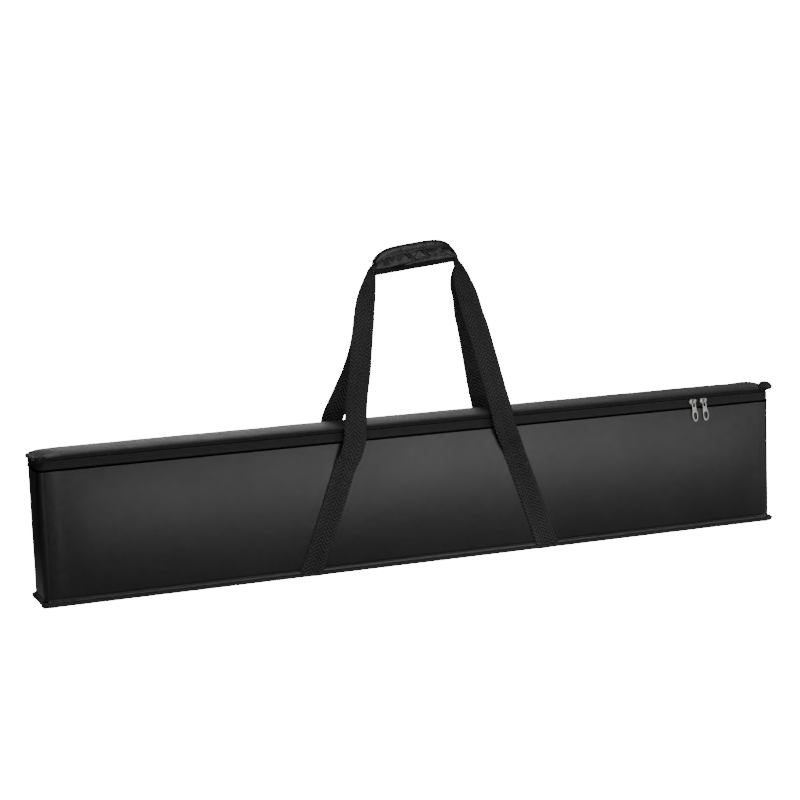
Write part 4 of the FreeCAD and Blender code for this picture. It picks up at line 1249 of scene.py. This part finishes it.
@dataclass
class Webbing:
    """The four webbings, sewn to the walls below and free above."""

    panel: PuffedPanel
    shop: Workshop
    straps: Sequence[Strap]
    width: float = 32.0 * MM
    thick: float = 1.6 * MM
    sewn_top: float = 150.0 * MM

    def build(self) -> None:
        """Builds the webbings, their seams and tacks."""
        for strap in self.straps:
            self.strip(strap, self.line(strap))
            self.seams(strap)

    def wall_y(self, side: Side, x: float, z: float) -> float:
        """The wall's face where a webbing lies on it."""
        puff = float(self.panel.puff(np.array(x), np.array(z)))
        return side.value * (self.panel.plan.half_depth + puff)

    def line(self, strap: Strap) -> np.ndarray:
        """The middle line as rows of x, y, z, width, thickness, curl."""
        rows = []
        for share in np.linspace(0.0, 1.0, 8):
            z = 1.5 * MM + share * (0.93 * self.sewn_top - 1.5 * MM)
            x = strap.foot_x + (strap.fold_x - strap.foot_x) * (z / self.sewn_top)
            y = self.wall_y(strap.side, x, z) + strap.side.value * (0.5 * self.thick + 0.15 * MM)
            rows.append((x, y, z, self.width + (0.003 if share == 0 else 0.0), self.thick, 0.0))
        for x, y, z, width, thick in strap.stations():
            curl = float(soft_step(0.36, 0.40, z)) * 2.0 * MM
            rows.append((x, strap.side.value * y, z, width, thick, curl))
        return smooth_line(rows, 190)

    def strip(self, strap: Strap, line: np.ndarray) -> None:
        """The woven strip itself."""
        place, width, thick, curl = line[:, :3], line[:, 3], line[:, 4], line[:, 5]
        ahead = np.gradient(place, axis=0)
        ahead /= np.linalg.norm(ahead, axis=1)[:, None]
        out = np.array([0.0, float(strap.side.value), 0.0])
        facing = out - ahead * (ahead @ out)[:, None]
        facing /= np.linalg.norm(facing, axis=1)[:, None]
        sideways = np.cross(ahead, facing)
        across, up = oval(0.5, 0.5, 26, 5.0)
        rough = crumple(place, 16 * MM, 5.0 * strap.foot_x * 10)
        free = soft_step(0.16, 0.24, place[:, 2])
        rows = (place[:, None, :] + sideways[:, None, :] * (across[None, :] * width[:, None])[..., None]
                + facing[:, None, :] * (up[None, :] * thick[:, None]
                                        - curl[:, None] * (2 * np.abs(across[None, :])) ** 3 * 0.5
                                        + (free * 0.5 * MM * rough)[:, None] * across[None, :] * 2)[..., None])
        name = f"{strap.side.word}_{strap.hand.word}_strap"
        loop_body = f"{strap.side.word}_loop"
        nodes = [f"{strap.side.word}_{strap.hand.word}_webbing", f"{strap.side.word}_{strap.hand.word}_leg"]
        piece = skin(name, rows, sharp=50)
        y = strap.side.value * 41.0 * MM
        self.shop.bend(piece, WEBBING, ("case", loop_body), (0.0, y, self.sewn_top - 1 * MM),
                       (0.0, y, self.sewn_top + 9 * MM), nodes)

    def seams(self, strap: Strap) -> None:
        """Stitches down both edges of the sewn part, and a box of them at its top."""
        lines = []
        lean = (strap.fold_x - strap.foot_x) / self.sewn_top
        scale = math.hypot(1.0, lean)
        for edge in (-1, 1):
            for inset in (2.2 * MM, 4.4 * MM):
                shift = edge * (0.5 * self.width - inset) * scale
                z = np.linspace(4 * MM, self.sewn_top - 5 * MM, 30)
                lines.append(self.on_face(strap, strap.foot_x + lean * z + shift, z))
        for drop in (5 * MM, 8 * MM, 28 * MM):
            t = np.linspace(-1, 1, 12)
            z = self.sewn_top - drop - t * lean * 0.5 * self.width * 0.8
            x = strap.foot_x + lean * (self.sewn_top - drop) + t * 0.42 * self.width
            lines.append(self.on_face(strap, x, z))
        corners = [(-1, 8 * MM), (1, 28 * MM)], [(1, 8 * MM), (-1, 28 * MM)]
        for (a, low), (b, high) in corners:
            t = np.linspace(0, 1, 10)
            z = self.sewn_top - (low + (high - low) * t)
            side = (a + (b - a) * t) * 0.4 * self.width
            lines.append(self.on_face(strap, strap.foot_x + lean * z + side, z - side * lean))
        name = f"{strap.side.word}_{strap.hand.word}_strap_stitches"
        first = strap.side is Side.FRONT and strap.hand is Hand.LEFT
        tacks = ["webbing_tacks"] if first else []
        self.shop.sew(name, lines, "case", 3.0 * MM, 0.7 * MM, STRAP_THREAD, tacks)

    def on_face(self, strap: Strap, x: np.ndarray, z: np.ndarray) -> np.ndarray:
        """Points on the outer face of the sewn webbing."""
        y = [self.wall_y(strap.side, float(a), float(b)) + strap.side.value * (self.thick + 0.22 * MM)
             for a, b in zip(x, z)]
        return np.column_stack([x, y, z])


def cured(piece: bpy.types.Object) -> None:
    """Fixes a piece's modifiers into its mesh."""
    made = evaluated_mesh(piece)
    piece.modifiers.clear()
    old, piece.data = piece.data, made
    bpy.data.meshes.remove(old)
    piece.data.name = piece.name


def places(piece: bpy.types.Object) -> np.ndarray:
    """The piece's points."""
    flat = np.zeros(len(piece.data.vertices) * 3, np.float32)
    piece.data.vertices.foreach_get("co", flat)
    return flat.reshape(-1, 3).astype(float)


def move_to(piece: bpy.types.Object, points: np.ndarray) -> None:
    """Puts the piece's points somewhere else."""
    piece.data.vertices.foreach_set("co", points.astype(np.float32).ravel())
    piece.data.update()


def lay_cloth(piece: bpy.types.Object, flat: np.ndarray) -> None:
    """Gives a piece a UV map from one flat place, in metres, for each of its points."""
    layer = piece.data.uv_layers.get("cloth") or piece.data.uv_layers.new(name="cloth")
    index = np.zeros(len(piece.data.loops), np.int32)
    piece.data.loops.foreach_get("vertex_index", index)
    layer.data.foreach_set("uv", flat[index].astype(np.float32).ravel())


@dataclass(frozen=True)
class Filling:
    """Lets the cloth of a pad swell over what fills it."""

    voxel: float = 1.8 * MM
    pressure: float = 4.0
    cap: float = 1.6 * MM
    frames: int = 20

    def swell(self, piece: bpy.types.Object, hold: Callable[[np.ndarray], np.ndarray]) -> None:
        """Swells a closed pad.

        Args:
            piece: the pad, a little smaller than it should end.
            hold: keeps points out of what the pad lies against.
        """
        remesh = piece.modifiers.new("even", "REMESH")
        remesh.mode, remesh.voxel_size = "VOXEL", self.voxel
        cured(piece)
        rest = places(piece)
        cloth = piece.modifiers.new("cloth", "CLOTH")
        cloth.settings.use_pressure = True
        cloth.settings.uniform_pressure_force = self.pressure
        cloth.settings.effector_weights.gravity = 0.0
        cloth.point_cache.frame_start, cloth.point_cache.frame_end = 1, self.frames
        for frame in range(1, self.frames + 1):
            bpy.context.scene.frame_set(frame)
        cured(piece)
        bpy.context.scene.frame_set(1)
        moved = (places(piece) - rest) * np.array([0.3, 1.0, 0.3])
        length = np.linalg.norm(moved, axis=1)[:, None]
        moved *= np.minimum(1.0, self.cap / np.maximum(length, 1e-9))
        move_to(piece, hold(rest + moved))
        fine = piece.modifiers.new("fine", "SUBSURF")
        fine.levels = fine.render_levels = 1
        cured(piece)
        move_to(piece, hold(places(piece)))


@dataclass
class Handle:
    """The padded wrap that holds both webbing loops: two halves, their flaps, edges and fastening strips."""

    shop: Workshop
    tilt: float = math.radians(5.9)
    middle: float = 2.3 * MM
    low: float = 412.1 * MM
    half_length: float = 63.5 * MM
    crown_height: float = 37.2 * MM
    left_round: float = 3.6
    right_round: float = 4.5
    thick: float = 9.0 * MM
    gap: float = 0.3 * MM

    def build(self) -> None:
        """Builds both halves."""
        for side in Side:
            self.pad(side)
            self.flap(side)
            self.hem(side)
            self.end_edges(side)
            self.strip(side)
            self.grip(side)

    def height(self, u: np.ndarray) -> np.ndarray:
        """Height of the wrap along its length: full in the middle, round at both ends."""
        share = np.clip(np.asarray(u, float) / (self.half_length + 0.6 * MM), -1.0, 1.0)
        power = np.where(share < 0, self.left_round, self.right_round)
        return self.crown_height * (1.0 - np.abs(share) ** power) ** 0.4

    def place(self, u: np.ndarray, v: np.ndarray, y: np.ndarray) -> np.ndarray:
        """Turns places on the wrap into places in space."""
        c, s = math.cos(self.tilt), math.sin(self.tilt)
        u, v, y = np.broadcast_arrays(np.asarray(u, float), np.asarray(v, float), np.asarray(y, float))
        return np.stack([self.middle + u * c - v * s, y, self.low + u * s + v * c], axis=-1)

    def unplace(self, points: np.ndarray) -> tuple[np.ndarray, np.ndarray]:
        """Along and up on the wrap, for points in space."""
        c, s = math.cos(self.tilt), math.sin(self.tilt)
        x, z = points[:, 0] - self.middle, points[:, 2] - self.low
        return x * c + z * s, z * c - x * s

    def depth(self, u: np.ndarray, v: np.ndarray) -> np.ndarray:
        """How far the padding stands out from the middle seam."""
        share = np.clip(np.asarray(v, float) / self.height(u), 0.0, 1.0)
        ends = (1.0 - np.clip(np.abs(u) / self.half_length, 0, 1) ** 7) ** 0.5
        return self.thick * (1.0 - np.abs(2.0 * share - 1.0) ** 2.3) ** 0.62 * (0.45 + 0.55 * ends)

    def dents(self, u: np.ndarray, v: np.ndarray, side: Side) -> np.ndarray:
        """The pull of the stitching: slanted puckers under the flap's edge, and a soft fold low down."""
        share = v / self.height(u)
        line = self.flap_line(u)
        out = np.zeros_like(share)
        mirror = 1.0 if side is Side.FRONT else -1.0
        for at, slant, deep, wide in ((-46, 0.6, 2.0, 2.8), (-37, 0.3, 1.2, 2.4), (-24, -0.3, 1.4, 3.2),
                                      (-12, 0.9, 2.2, 2.6), (0, -0.6, 1.5, 2.6), (12, 0.8, 2.4, 2.3),
                                      (26, 0.4, 0.9, 3.5), (42, -0.5, 0.9, 4.0)):
            centre = mirror * at * MM + slant * (line - v)
            fade = hump(0.0, 8.5 * MM, line - v - 3 * MM) * (v < line + 1 * MM)
            out -= deep * MM * hump(0.0, wide * MM, u - centre) * fade
            out += 0.45 * deep * MM * hump(1.9 * wide * MM, wide * MM, u - centre) * fade
        low_fold = 0.3 + 0.07 * np.sin(u / (17 * MM)) + 0.08 * (u / self.half_length)
        groove = 1.1 * MM * hump(0.0, 0.045, share - low_fold)
        tuck = 0.8 * MM * soft_step(low_fold + 0.02, low_fold - 0.1, share)
        return out - groove - tuck

    def flap_line(self, u: np.ndarray) -> np.ndarray:
        """Height of the flap's edge along the wrap."""
        wave = 0.8 * MM * np.sin(np.asarray(u, float) / (11 * MM)) + 0.5 * MM * np.sin(np.asarray(u, float) / (5 * MM))
        return 0.69 * self.height(u) + wave * 0.6

    def pad(self, side: Side) -> None:
        """One padded half, swollen by simulation and then drawn in by its stitching."""
        u = 0.99 * self.half_length * np.sin(np.linspace(-0.5, 0.5, 70) * math.pi)
        angle = np.linspace(0.0, math.pi, 26)
        share = (1.0 - np.cos(angle)) / 2.0
        slim = 1.0 - 0.22 * np.abs(u / self.half_length) ** 9
        v = self.height(u)[:, None] * (0.5 + (share[None, :] - 0.5) * slim[:, None])
        y = side.value * (self.gap + 0.82 * self.depth(u[:, None], self.height(u)[:, None] * share[None, :]))
        front = self.place(u[:, None], v, y)
        back_share = np.linspace(1.0, 0.0, 10)[1:-1]
        back = self.place(u[:, None], self.height(u)[:, None] * (0.5 + (back_share[None, :] - 0.5) * slim[:, None]),
                          side.value * self.gap)
        piece = skin(f"{side.word}_pad", np.concatenate([front, back], axis=1))

        def hold(points: np.ndarray) -> np.ndarray:
            """Keeps the half on its own side of the seam."""
            points = points.copy()
            points[:, 1] = side.value * np.maximum(side.value * points[:, 1], self.gap)
            return points

        Filling().swell(piece, hold)
        points = places(piece)
        u, v = self.unplace(points)
        outside = soft_step(2.0 * MM, 5.0 * MM, side.value * points[:, 1])
        points[:, 1] += side.value * outside * self.dents(u, np.maximum(v, 0), side)
        creased = 0.7 * crumple(points, 8 * MM, 81.0) + 0.35 * crumple(points, 4 * MM, 82.0)
        points[:, 1] += side.value * outside * MM * creased
        move_to(piece, hold(points))
        lay_cloth(piece, np.column_stack([u, v - side.value * points[:, 1] * np.sign(v - 0.5 * self.height(u))]))
        smooth(piece, 80)
        self.shop.hang(piece, WRAP_CLOTH, f"{side.word}_loop", [f"{side.word}_wrap"])

    def flap(self, side: Side) -> None:
        """The overlapping flap: one thin layer from the top down to its turned edge."""
        u = self.half_length * np.linspace(-0.93, 0.95, 120)
        line = self.flap_line(u)
        top = self.height(u)
        share = np.linspace(0.0, 1.0, 18)
        v = line[:, None] + (0.985 * top - line)[:, None] * share[None, :]
        place = self.place(u[:, None], v, 0.0)
        y = self.gap + self.depth(u[:, None], v) + 0.35 * MM + 0.45 * MM * (share[None, :] < 0.08)
        y = y + 0.3 * MM * crumple(place, 8 * MM, 87.0)
        lip = hump(0.0, 0.09, share)[None, :]
        y = y + 0.35 * MM * lip
        outer = self.place(u[:, None], v, side.value * y)
        inner = self.place(u[:, None], v, side.value * (y - 0.75 * MM))[:, ::-1]
        piece = skin(f"{side.word}_flap", np.concatenate([outer, inner], axis=1), sharp=75)
        self.shop.hang(piece, WRAP_CLOTH, f"{side.word}_loop")
        edge = self.place(u[2:-2], line[2:-2] + 1.9 * MM,
                          side.value * (self.gap + self.depth(u, line + 1.9 * MM)[2:-2] + 0.72 * MM))
        self.shop.sew(f"{side.word}_flap_stitches", [edge], f"{side.word}_loop", 2.6 * MM, 0.55 * MM)

    def hem(self, side: Side) -> None:
        """The turned-up hem along the underside."""
        u = self.half_length * np.linspace(-0.95, 0.96, 120)
        rise = 7.6 * MM - 0.8 * MM * u / self.half_length + 0.7 * MM * np.sin(u / (13 * MM))
        v = 0.35 * MM + (rise[:, None] - 0.35 * MM) * np.linspace(0.0, 1.0, 14)[None, :]
        place = self.place(u[:, None], v, 0.0)
        lip = hump(1.0, 0.1, np.linspace(0.0, 1.0, 14))[None, :]
        y = self.gap + self.depth(u[:, None], v) + 0.25 * MM + 0.5 * MM * lip + 0.3 * MM * crumple(place, 7 * MM, 95.0)
        outer = self.place(u[:, None], v, side.value * y)
        inner = self.place(u[:, None], v, side.value * np.maximum(y - 0.8 * MM, self.gap))[:, ::-1]
        piece = skin(f"{side.word}_hem", np.concatenate([outer, inner], axis=1), sharp=75)
        self.shop.hang(piece, WRAP_HEM, f"{side.word}_loop")

    def end_edges(self, side: Side) -> None:
        """The rolled edges that close the wrap's ends."""
        for hand in Hand:
            u = hand.value * (self.half_length - 1.1 * MM)
            top = float(self.height(np.array(u)))
            share = np.linspace(0.02, 0.98, 30)
            out = self.gap + 0.5 * MM + 0.55 * self.depth(np.full(30, 0.9 * u), share * top)
            line = self.place(np.full(30, u), share * top, side.value * out)
            across, up = oval(1.25 * MM, 1.15 * MM, 10)
            wave = 1.0 + 0.25 * crumple(line, 4 * MM, 91.0)
            c, s = math.cos(self.tilt), math.sin(self.tilt)
            rows = (line[:, None, :] + across[None, :, None] * wave[:, None, None] * np.array([c, 0.0, s])
                    + up[None, :, None] * wave[:, None, None] * np.array([0.0, 1.0, 0.0]))
            piece = skin(f"{side.word}_{hand.word}_rolled_edge", rows)
            self.shop.hang(piece, WRAP_CLOTH, f"{side.word}_loop")

    def strip(self, side: Side) -> None:
        """The fastening strip under the flap."""
        word = "hook_strip" if side is Side.FRONT else "loop_strip"
        u = np.linspace(-30 * MM, 30 * MM, 40)
        share = np.linspace(0.0, 1.0, 9)
        v = self.flap_line(u)[:, None] + (1.2 + 7.0 * share[None, :]) * MM
        y = self.gap + self.depth(u[:, None], v) - 0.75 * MM
        outer = self.place(u[:, None], v, side.value * (y + 0.35 * MM))
        inner = self.place(u[:, None], v, side.value * (y - 0.25 * MM))[:, ::-1]
        piece = skin(word, np.concatenate([outer, inner], axis=1))
        piece.name = f"{side.word}_{word}"
        self.shop.hang(piece, PILE, f"{side.word}_loop", [word])

    def grip(self, side: Side) -> None:
        """The folded webbing inside the wrap."""
        u = np.linspace(-0.86, 0.86, 40) * self.half_length
        across, up = oval(7.0 * MM, 1.3 * MM, 18, 5.0)
        v = 0.5 * self.height(u)
        rows = self.place(u[:, None], v[:, None] + across[None, :], side.value * (1.9 * MM + up[None, :]))
        piece = skin(f"{side.word}_folded_grip", rows)
        self.shop.hang(piece, WEBBING, f"{side.word}_loop", [f"{side.word}_grip_webbing"])


# ---------------------------------------------------------------------------------------- sliders


@dataclass
class ZipPull:
    """One zip slider with its bridge and leaning pull tab."""

    hand: Hand
    shop: Workshop
    lean: float = math.radians(8.0)
    half_plate: float = 0.3 * MM
    edge_round: float = 0.28 * MM
    ribs: int = 5
    first_rib: float = -7.2
    rib_pitch: float = 1.15

    def build(self) -> None:
        """Builds the slider, bridge and tab."""
        self.slider()
        self.bridge()
        self.tab()

    def plate(self, low: Vector, high: Vector, face: float, back: float, domed: float) -> np.ndarray:
        """Rows of a rounded plate, from its rim to its domed face."""
        count = 36
        rows = []
        for share, y in ((0.90, back), (1.0, back + 0.25 * (face - back)), (1.0, back + 0.7 * (face - back)),
                         (0.93, face), (0.7, face + 0.55 * domed), (0.4, face + 0.9 * domed), (0.08, face + domed)):
            across, up = oval((high.x - low.x) / 2 * share, (high.z - low.z) / 2 * share, count, 3.0)
            pinch = 1.0 - 0.18 * np.clip(-up / (high.z - low.z) * 2, 0, 1)
            rows.append(np.column_stack([(low.x + high.x) / 2 + across * pinch, np.full(count, y),
                                         (low.z + high.z) / 2 + up]))
        return np.array(rows)

    def slider(self) -> None:
        """Front and back plates and the post between."""
        word = f"{self.hand.word}_slider"
        low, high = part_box(word)
        front = skin(f"{word}_front_plate",
                     self.plate(low, high, low.y + 0.15 * MM, low.y + 1.3 * MM, -0.55 * MM), sharp=40)
        self.shop.hang(front, PLATING, word, [word])
        back = skin(f"{word}_back_plate",
                    self.plate(low, high, high.y - 0.1 * MM, high.y - 1.3 * MM, 0.1 * MM), sharp=40)
        self.shop.hang(back, PLATING, word)
        across, up = oval(3.0 * MM, 0.3 * MM, 16, 3.0)
        y = np.linspace(low.y + 0.8 * MM, high.y - 0.8 * MM, 4)
        rows = np.stack([np.column_stack([(low.x + high.x) / 2 + across, np.full(16, v), (low.z + high.z) / 2 + up])
                         for v in y])
        self.shop.hang(skin(f"{word}_post", rows, sharp=40), PLATING, word)

    def bridge(self) -> None:
        """The arched bridge that carries the tab."""
        word = f"{self.hand.word}_bridge"
        low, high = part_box(word)
        x = (low.x + high.x) / 2
        turn = np.linspace(-0.5, 0.5, 22) * math.pi
        reach = high.y - low.y
        middle, half = (low.z + high.z) / 2, (high.z - low.z) / 2 - 0.45 * MM
        line = np.column_stack([np.full(22, x), high.y + 0.3 * MM - (reach - 0.3 * MM) * np.cos(turn) ** 0.6,
                                middle + half * np.sin(turn)])
        ahead = np.gradient(line, axis=0)
        ahead /= np.linalg.norm(ahead, axis=1)[:, None]
        side = np.array([1.0, 0.0, 0.0])
        facing = np.cross(ahead, side)
        across, up = oval((high.x - low.x) / 2, 0.5 * MM, 12, 2.6)
        swell = 1.0 + 0.28 * np.cos(turn)[:, None]
        rows = line[:, None, :] + side * (across[None, :] * swell)[..., None] + facing[:, None, :] * up[None, :, None]
        piece = skin(word + "_arch", rows, sharp=45)
        self.shop.hang(piece, PLATING, f"{self.hand.word}_slider", [word])

    def tab(self) -> None:
        """The tab: a narrow neck with a window, a ribbed grip, and a pointed ring."""
        word = f"{self.hand.word}_pull"
        low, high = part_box(word)
        top, x = high.z - 0.6 * MM, (low.x + high.x) / 2
        flat = bpy.data.curves.new(word + "_outline", "CURVE")
        flat.dimensions, flat.fill_mode = "2D", "BOTH"
        flat.extrude, flat.bevel_depth, flat.bevel_resolution = self.half_plate, self.edge_round, 2
        flat.offset = -self.edge_round
        outline = [(0.0, 0.35), (2.5, 0.3), (3.2, -0.4), (3.25, -6.5), (3.3, -11.5), (4.2, -14.2), (4.6, -18.0),
                   (4.3, -22.5), (3.2, -26.2), (1.4, -28.0), (0.0, -28.35)]
        outline += [(-a, b) for a, b in reversed(outline[1:-1])]
        hole = [(0.0, -14.2), (1.9, -14.9), (3.0, -17.4), (2.9, -21.2), (1.9, -24.6), (0.0, -26.2)]
        hole += [(-a, b) for a, b in reversed(hole[1:-1])]
        window = [(1.8, -0.7), (1.8, -6.4), (-1.8, -6.4), (-1.8, -0.7)]
        for points in (outline, hole, window):
            spline = flat.splines.new("POLY")
            spline.points.add(len(points) - 1)
            for point, (a, b) in zip(spline.points, points):
                point.co = (a * MM, b * MM, 0.0, 1.0)
            spline.use_cyclic_u = True
        holder = add_object(word + "_outline", flat)
        mesh = evaluated_mesh(holder)
        bpy.data.objects.remove(holder)
        shell = bmesh.new()
        shell.from_mesh(mesh)
        for k in range(self.ribs):
            at = self.first_rib - self.rib_pitch * k
            bar = bmesh.ops.create_uvsphere(shell, u_segments=12, v_segments=8, radius=1.0)
            bmesh.ops.scale(shell, vec=(2.5 * MM, 0.36 * MM, 0.85 * MM), verts=bar["verts"])
            bmesh.ops.translate(shell, vec=(0.0, at * MM, 0.0), verts=bar["verts"])
        bmesh.ops.remove_doubles(shell, verts=shell.verts, dist=1e-7)
        bmesh.ops.recalc_face_normals(shell, faces=shell.faces)
        stand = Matrix.Translation((x, (low.y + high.y) / 2, top)) @ Matrix.Rotation(-self.lean, 4, "Y")
        shell.transform(stand @ Matrix.Rotation(math.pi / 2, 4, "X"))
        shell.to_mesh(mesh)
        shell.free()
        piece = add_object(word + "_tab", mesh)
        smooth(piece, 40)
        self.shop.hang(piece, PLATING, word, [word])


# ---------------------------------------------------------------------------------------- studio


@dataclass(frozen=True)
class Softbox:
    """One soft light, aimed at a point."""

    name: str
    place: tuple[float, float, float]
    aim: tuple[float, float, float]
    size: tuple[float, float]
    power: float

    def build(self) -> None:
        """Adds the light, which the camera doesn't see."""
        light = bpy.data.lights.new(self.name, "AREA")
        light.shape, light.size, light.size_y = "RECTANGLE", *self.size
        light.energy = self.power
        lamp = add_object(self.name, light)
        lamp.location = self.place
        lamp.rotation_mode = "QUATERNION"
        lamp.rotation_quaternion = (Vector(self.aim) - Vector(self.place)).to_track_quat("-Z", "Y")
        lamp.visible_camera = False


@dataclass(frozen=True)
class Studio:
    """A pale floor, soft lights and the camera."""

    yaw: float = math.radians(-20.58)
    pitch: float = math.radians(8.37)
    roll: float = math.radians(-2.11)
    away: float = 2.849
    aim: tuple[float, float, float] = (0.0, 0.0, 0.1)
    shift: tuple[float, float] = (0.029, -0.1248)
    lens: float = 90.0
    lights: tuple[Softbox, ...] = (
        Softbox("key", (-0.4, -1.7, 2.4), (0.0, 0.0, 0.2), (1.6, 1.2), 36.0),
        Softbox("grip_sheen", (0.47, -1.15, 0.27), (0.0, 0.0, 0.43), (0.4, 0.16), 1.5),
        Softbox("low_front", (0.29, -0.78, 0.055), (0.29, 0.0, 0.055), (1.42, 0.11), 2.65),
        Softbox("left_rim", (-1.7, -1.5, 0.3), (-0.55, 0.0, 0.1), (0.3, 0.9), 6.0),
        Softbox("right_rim", (2.3, -1.3, 0.3), (0.55, 0.0, 0.1), (0.7, 0.9), 12.0),
        Softbox("back_left", (0.33, 2.2, 0.75), (0.1, 0.0, 0.3), (1.1, 0.9), 40.0),
    )

    def build(self) -> None:
        """Sets up floor, world, lights and camera."""
        self.floor()
        self.world()
        for light in self.lights:
            light.build()
        self.camera()

    @staticmethod
    def floor() -> None:
        """A plain pale floor."""
        mesh = bpy.data.meshes.new("floor")
        size = 30.0
        mesh.from_pydata([(-size, -size, 0), (size, -size, 0), (size, size, 0), (-size, size, 0)], [], [(0, 1, 2, 3)])
        floor = add_object("floor", mesh)
        material, tree = blank_material("pale_floor")
        sight = tree.add("ShaderNodeLightPath")
        glow = tree.math("MULTIPLY", sight.outputs["Is Camera Ray"], BACKDROP_GLOW)
        place = tree.add("ShaderNodeTexCoord")
        split = tree.add("ShaderNodeSeparateXYZ", i0=place.outputs["Object"])
        near = tree.add("ShaderNodeMapRange", Value=split.outputs[1], From_Min=-0.1, From_Max=0.3, To_Min=0.5,
                        To_Max=0.03)
        shader = tree.add("ShaderNodeBsdfPrincipled", Base_Color=near.outputs["Result"], Roughness=0.8,
                          Specular_IOR_Level=0.1, Emission_Color=(1.0, 1.0, 1.0, 1.0), Emission_Strength=glow)
        tree.add("ShaderNodeOutputMaterial", Surface=shader.outputs["BSDF"])
        mesh.materials.append(material)
        floor.location.z = -FLOOR_DROP

    @staticmethod
    def world() -> None:
        """Pale light, dimmer from behind."""
        world = bpy.data.worlds.new("studio")
        world.use_nodes = True
        tree = NodeTree(world.node_tree)
        sight = tree.add("ShaderNodeLightPath")
        place = tree.add("ShaderNodeTexCoord")
        split = tree.add("ShaderNodeSeparateXYZ", i0=place.outputs["Generated"])
        fill = tree.add("ShaderNodeMapRange", Value=split.outputs[1], From_Min=-0.6, From_Max=0.3, To_Min=0.16,
                        To_Max=0.035)
        strength = tree.math("ADD", fill.outputs["Result"],
                             tree.math("MULTIPLY", sight.outputs["Is Camera Ray"], BACKDROP_GLOW))
        background = world.node_tree.nodes["Background"]
        background.inputs["Color"].default_value = (1.0, 1.0, 1.0, 1.0)
        tree.put(background.inputs["Strength"], strength)
        bpy.context.scene.world = world

    def camera(self) -> None:
        """The camera, at eye height before the case."""
        back = Vector((math.sin(self.yaw) * math.cos(self.pitch), -math.cos(self.yaw) * math.cos(self.pitch),
                       math.sin(self.pitch)))
        right = (-back).cross(Vector((0.0, 0.0, 1.0))).normalized()
        up = right.cross(-back)
        across = right * math.cos(self.roll) + up * math.sin(self.roll)
        upward = up * math.cos(self.roll) - right * math.sin(self.roll)
        place = Vector(self.aim) + back * self.away - across * self.shift[0] - upward * self.shift[1]
        data = bpy.data.cameras.new("camera")
        data.lens, data.sensor_width = self.lens, 36.0
        data.clip_start, data.clip_end = 0.05, 100.0
        camera = add_object("camera", data)
        turn = Matrix((across, upward, back)).transposed().to_4x4()
        camera.matrix_world = Matrix.Translation(place) @ turn
        bpy.context.scene.camera = camera


def straps() -> list[Strap]:
    """The four webbings of the case."""
    left_end = ((-61.0, 411.5, 13.0), (-52.0, 418.0, 12.5), (-38.0, 421.0, 12.5))
    right_end = ((69.0, 412.0, 13.5), (66.3, 418.5, 8.5), (62.5, 429.0, 9.0), (54.0, 437.0, 11.0), (40.0, 438.0, 12.0))
    free = {
        (Side.FRONT, Hand.LEFT): (
            (-123.0, 155.5, 32.0), (-119.0, 163.0, 32.0), (-111.3, 186.0, 32.5), (-110.0, 203.0, 32.5),
            (-103.3, 242.0, 32.0), (-94.4, 278.0, 32.0), (-87.0, 316.0, 32.0), (-78.8, 355.0, 30.6),
            (-74.8, 373.0, 27.6), (-69.4, 389.0, 23.0), (-64.4, 404.0, 16.0), *left_end),
        (Side.BACK, Hand.LEFT): (
            (-123.2, 155.5, 32.0), (-121.0, 163.0, 32.0), (-113.0, 203.0, 32.0), (-99.9, 234.0, 32.0),
            (-83.3, 273.0, 32.0), (-73.0, 313.0, 32.0), (-70.2, 350.0, 30.6), (-68.0, 373.0, 27.6),
            (-65.5, 389.0, 23.0), (-62.4, 404.0, 16.0), *left_end),
        (Side.FRONT, Hand.RIGHT): (
            (125.8, 155.5, 32.0), (122.4, 163.0, 32.0), (112.9, 190.0, 32.5), (110.6, 203.0, 32.5),
            (103.7, 243.0, 32.0), (96.6, 282.0, 32.0), (89.0, 322.0, 32.0), (83.2, 345.0, 32.0),
            (79.0, 368.0, 31.0), (73.6, 388.0, 28.0), (70.6, 403.0, 21.5), *right_end),
        (Side.BACK, Hand.RIGHT): (
            (127.4, 155.5, 32.0), (126.5, 163.0, 32.0), (118.0, 203.0, 32.0), (109.0, 236.0, 32.0),
            (98.8, 279.0, 32.0), (88.7, 321.0, 32.0), (83.0, 342.0, 32.0), (78.4, 365.0, 31.0),
            (71.4, 388.0, 28.0), (70.0, 403.0, 21.5), *right_end),
    }
    feet = {Hand.LEFT: (-182.5 * MM, -125.5 * MM), Hand.RIGHT: (180.2 * MM, 127.8 * MM)}
    return [Strap(side, hand, *feet[hand], stations) for (side, hand), stations in free.items()]


def main() -> None:
    """Builds the looks of the carrying case, piece by piece."""
    logging.basicConfig(level=logging.INFO, format="%(message)s", stream=sys.stdout)
    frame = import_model()
    low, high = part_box("outer_wrap")
    _, board_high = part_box("front_board")
    plan = Plan(high.x, high.y, high.x - board_high.x)
    panel = PuffedPanel(plan, low.z, high.z)
    Studio().build()
    shop = Workshop()
    CaseBody(plan, panel, shop).build()
    ZipBand(plan, shop).build()
    Lid(plan, shop).build()
    Webbing(panel, shop, straps()).build()
    Handle(shop).build()
    for hand in Hand:
        ZipPull(hand, shop).build()
    for name, node in frame["nodes"].items():
        if not node.hide_render:
            # The hinge cord takes the piping's near-black finish, with its painted shade.
            finish = PIPING_PAINTED_SHADE if name == "hinge_cord" else BOARD
            node.data.materials.clear()
            node.data.materials.append(finish.material(shop.groups))
            LOG.info("%s: kept from the packed model", name)


if __name__ == "__main__":
    main()
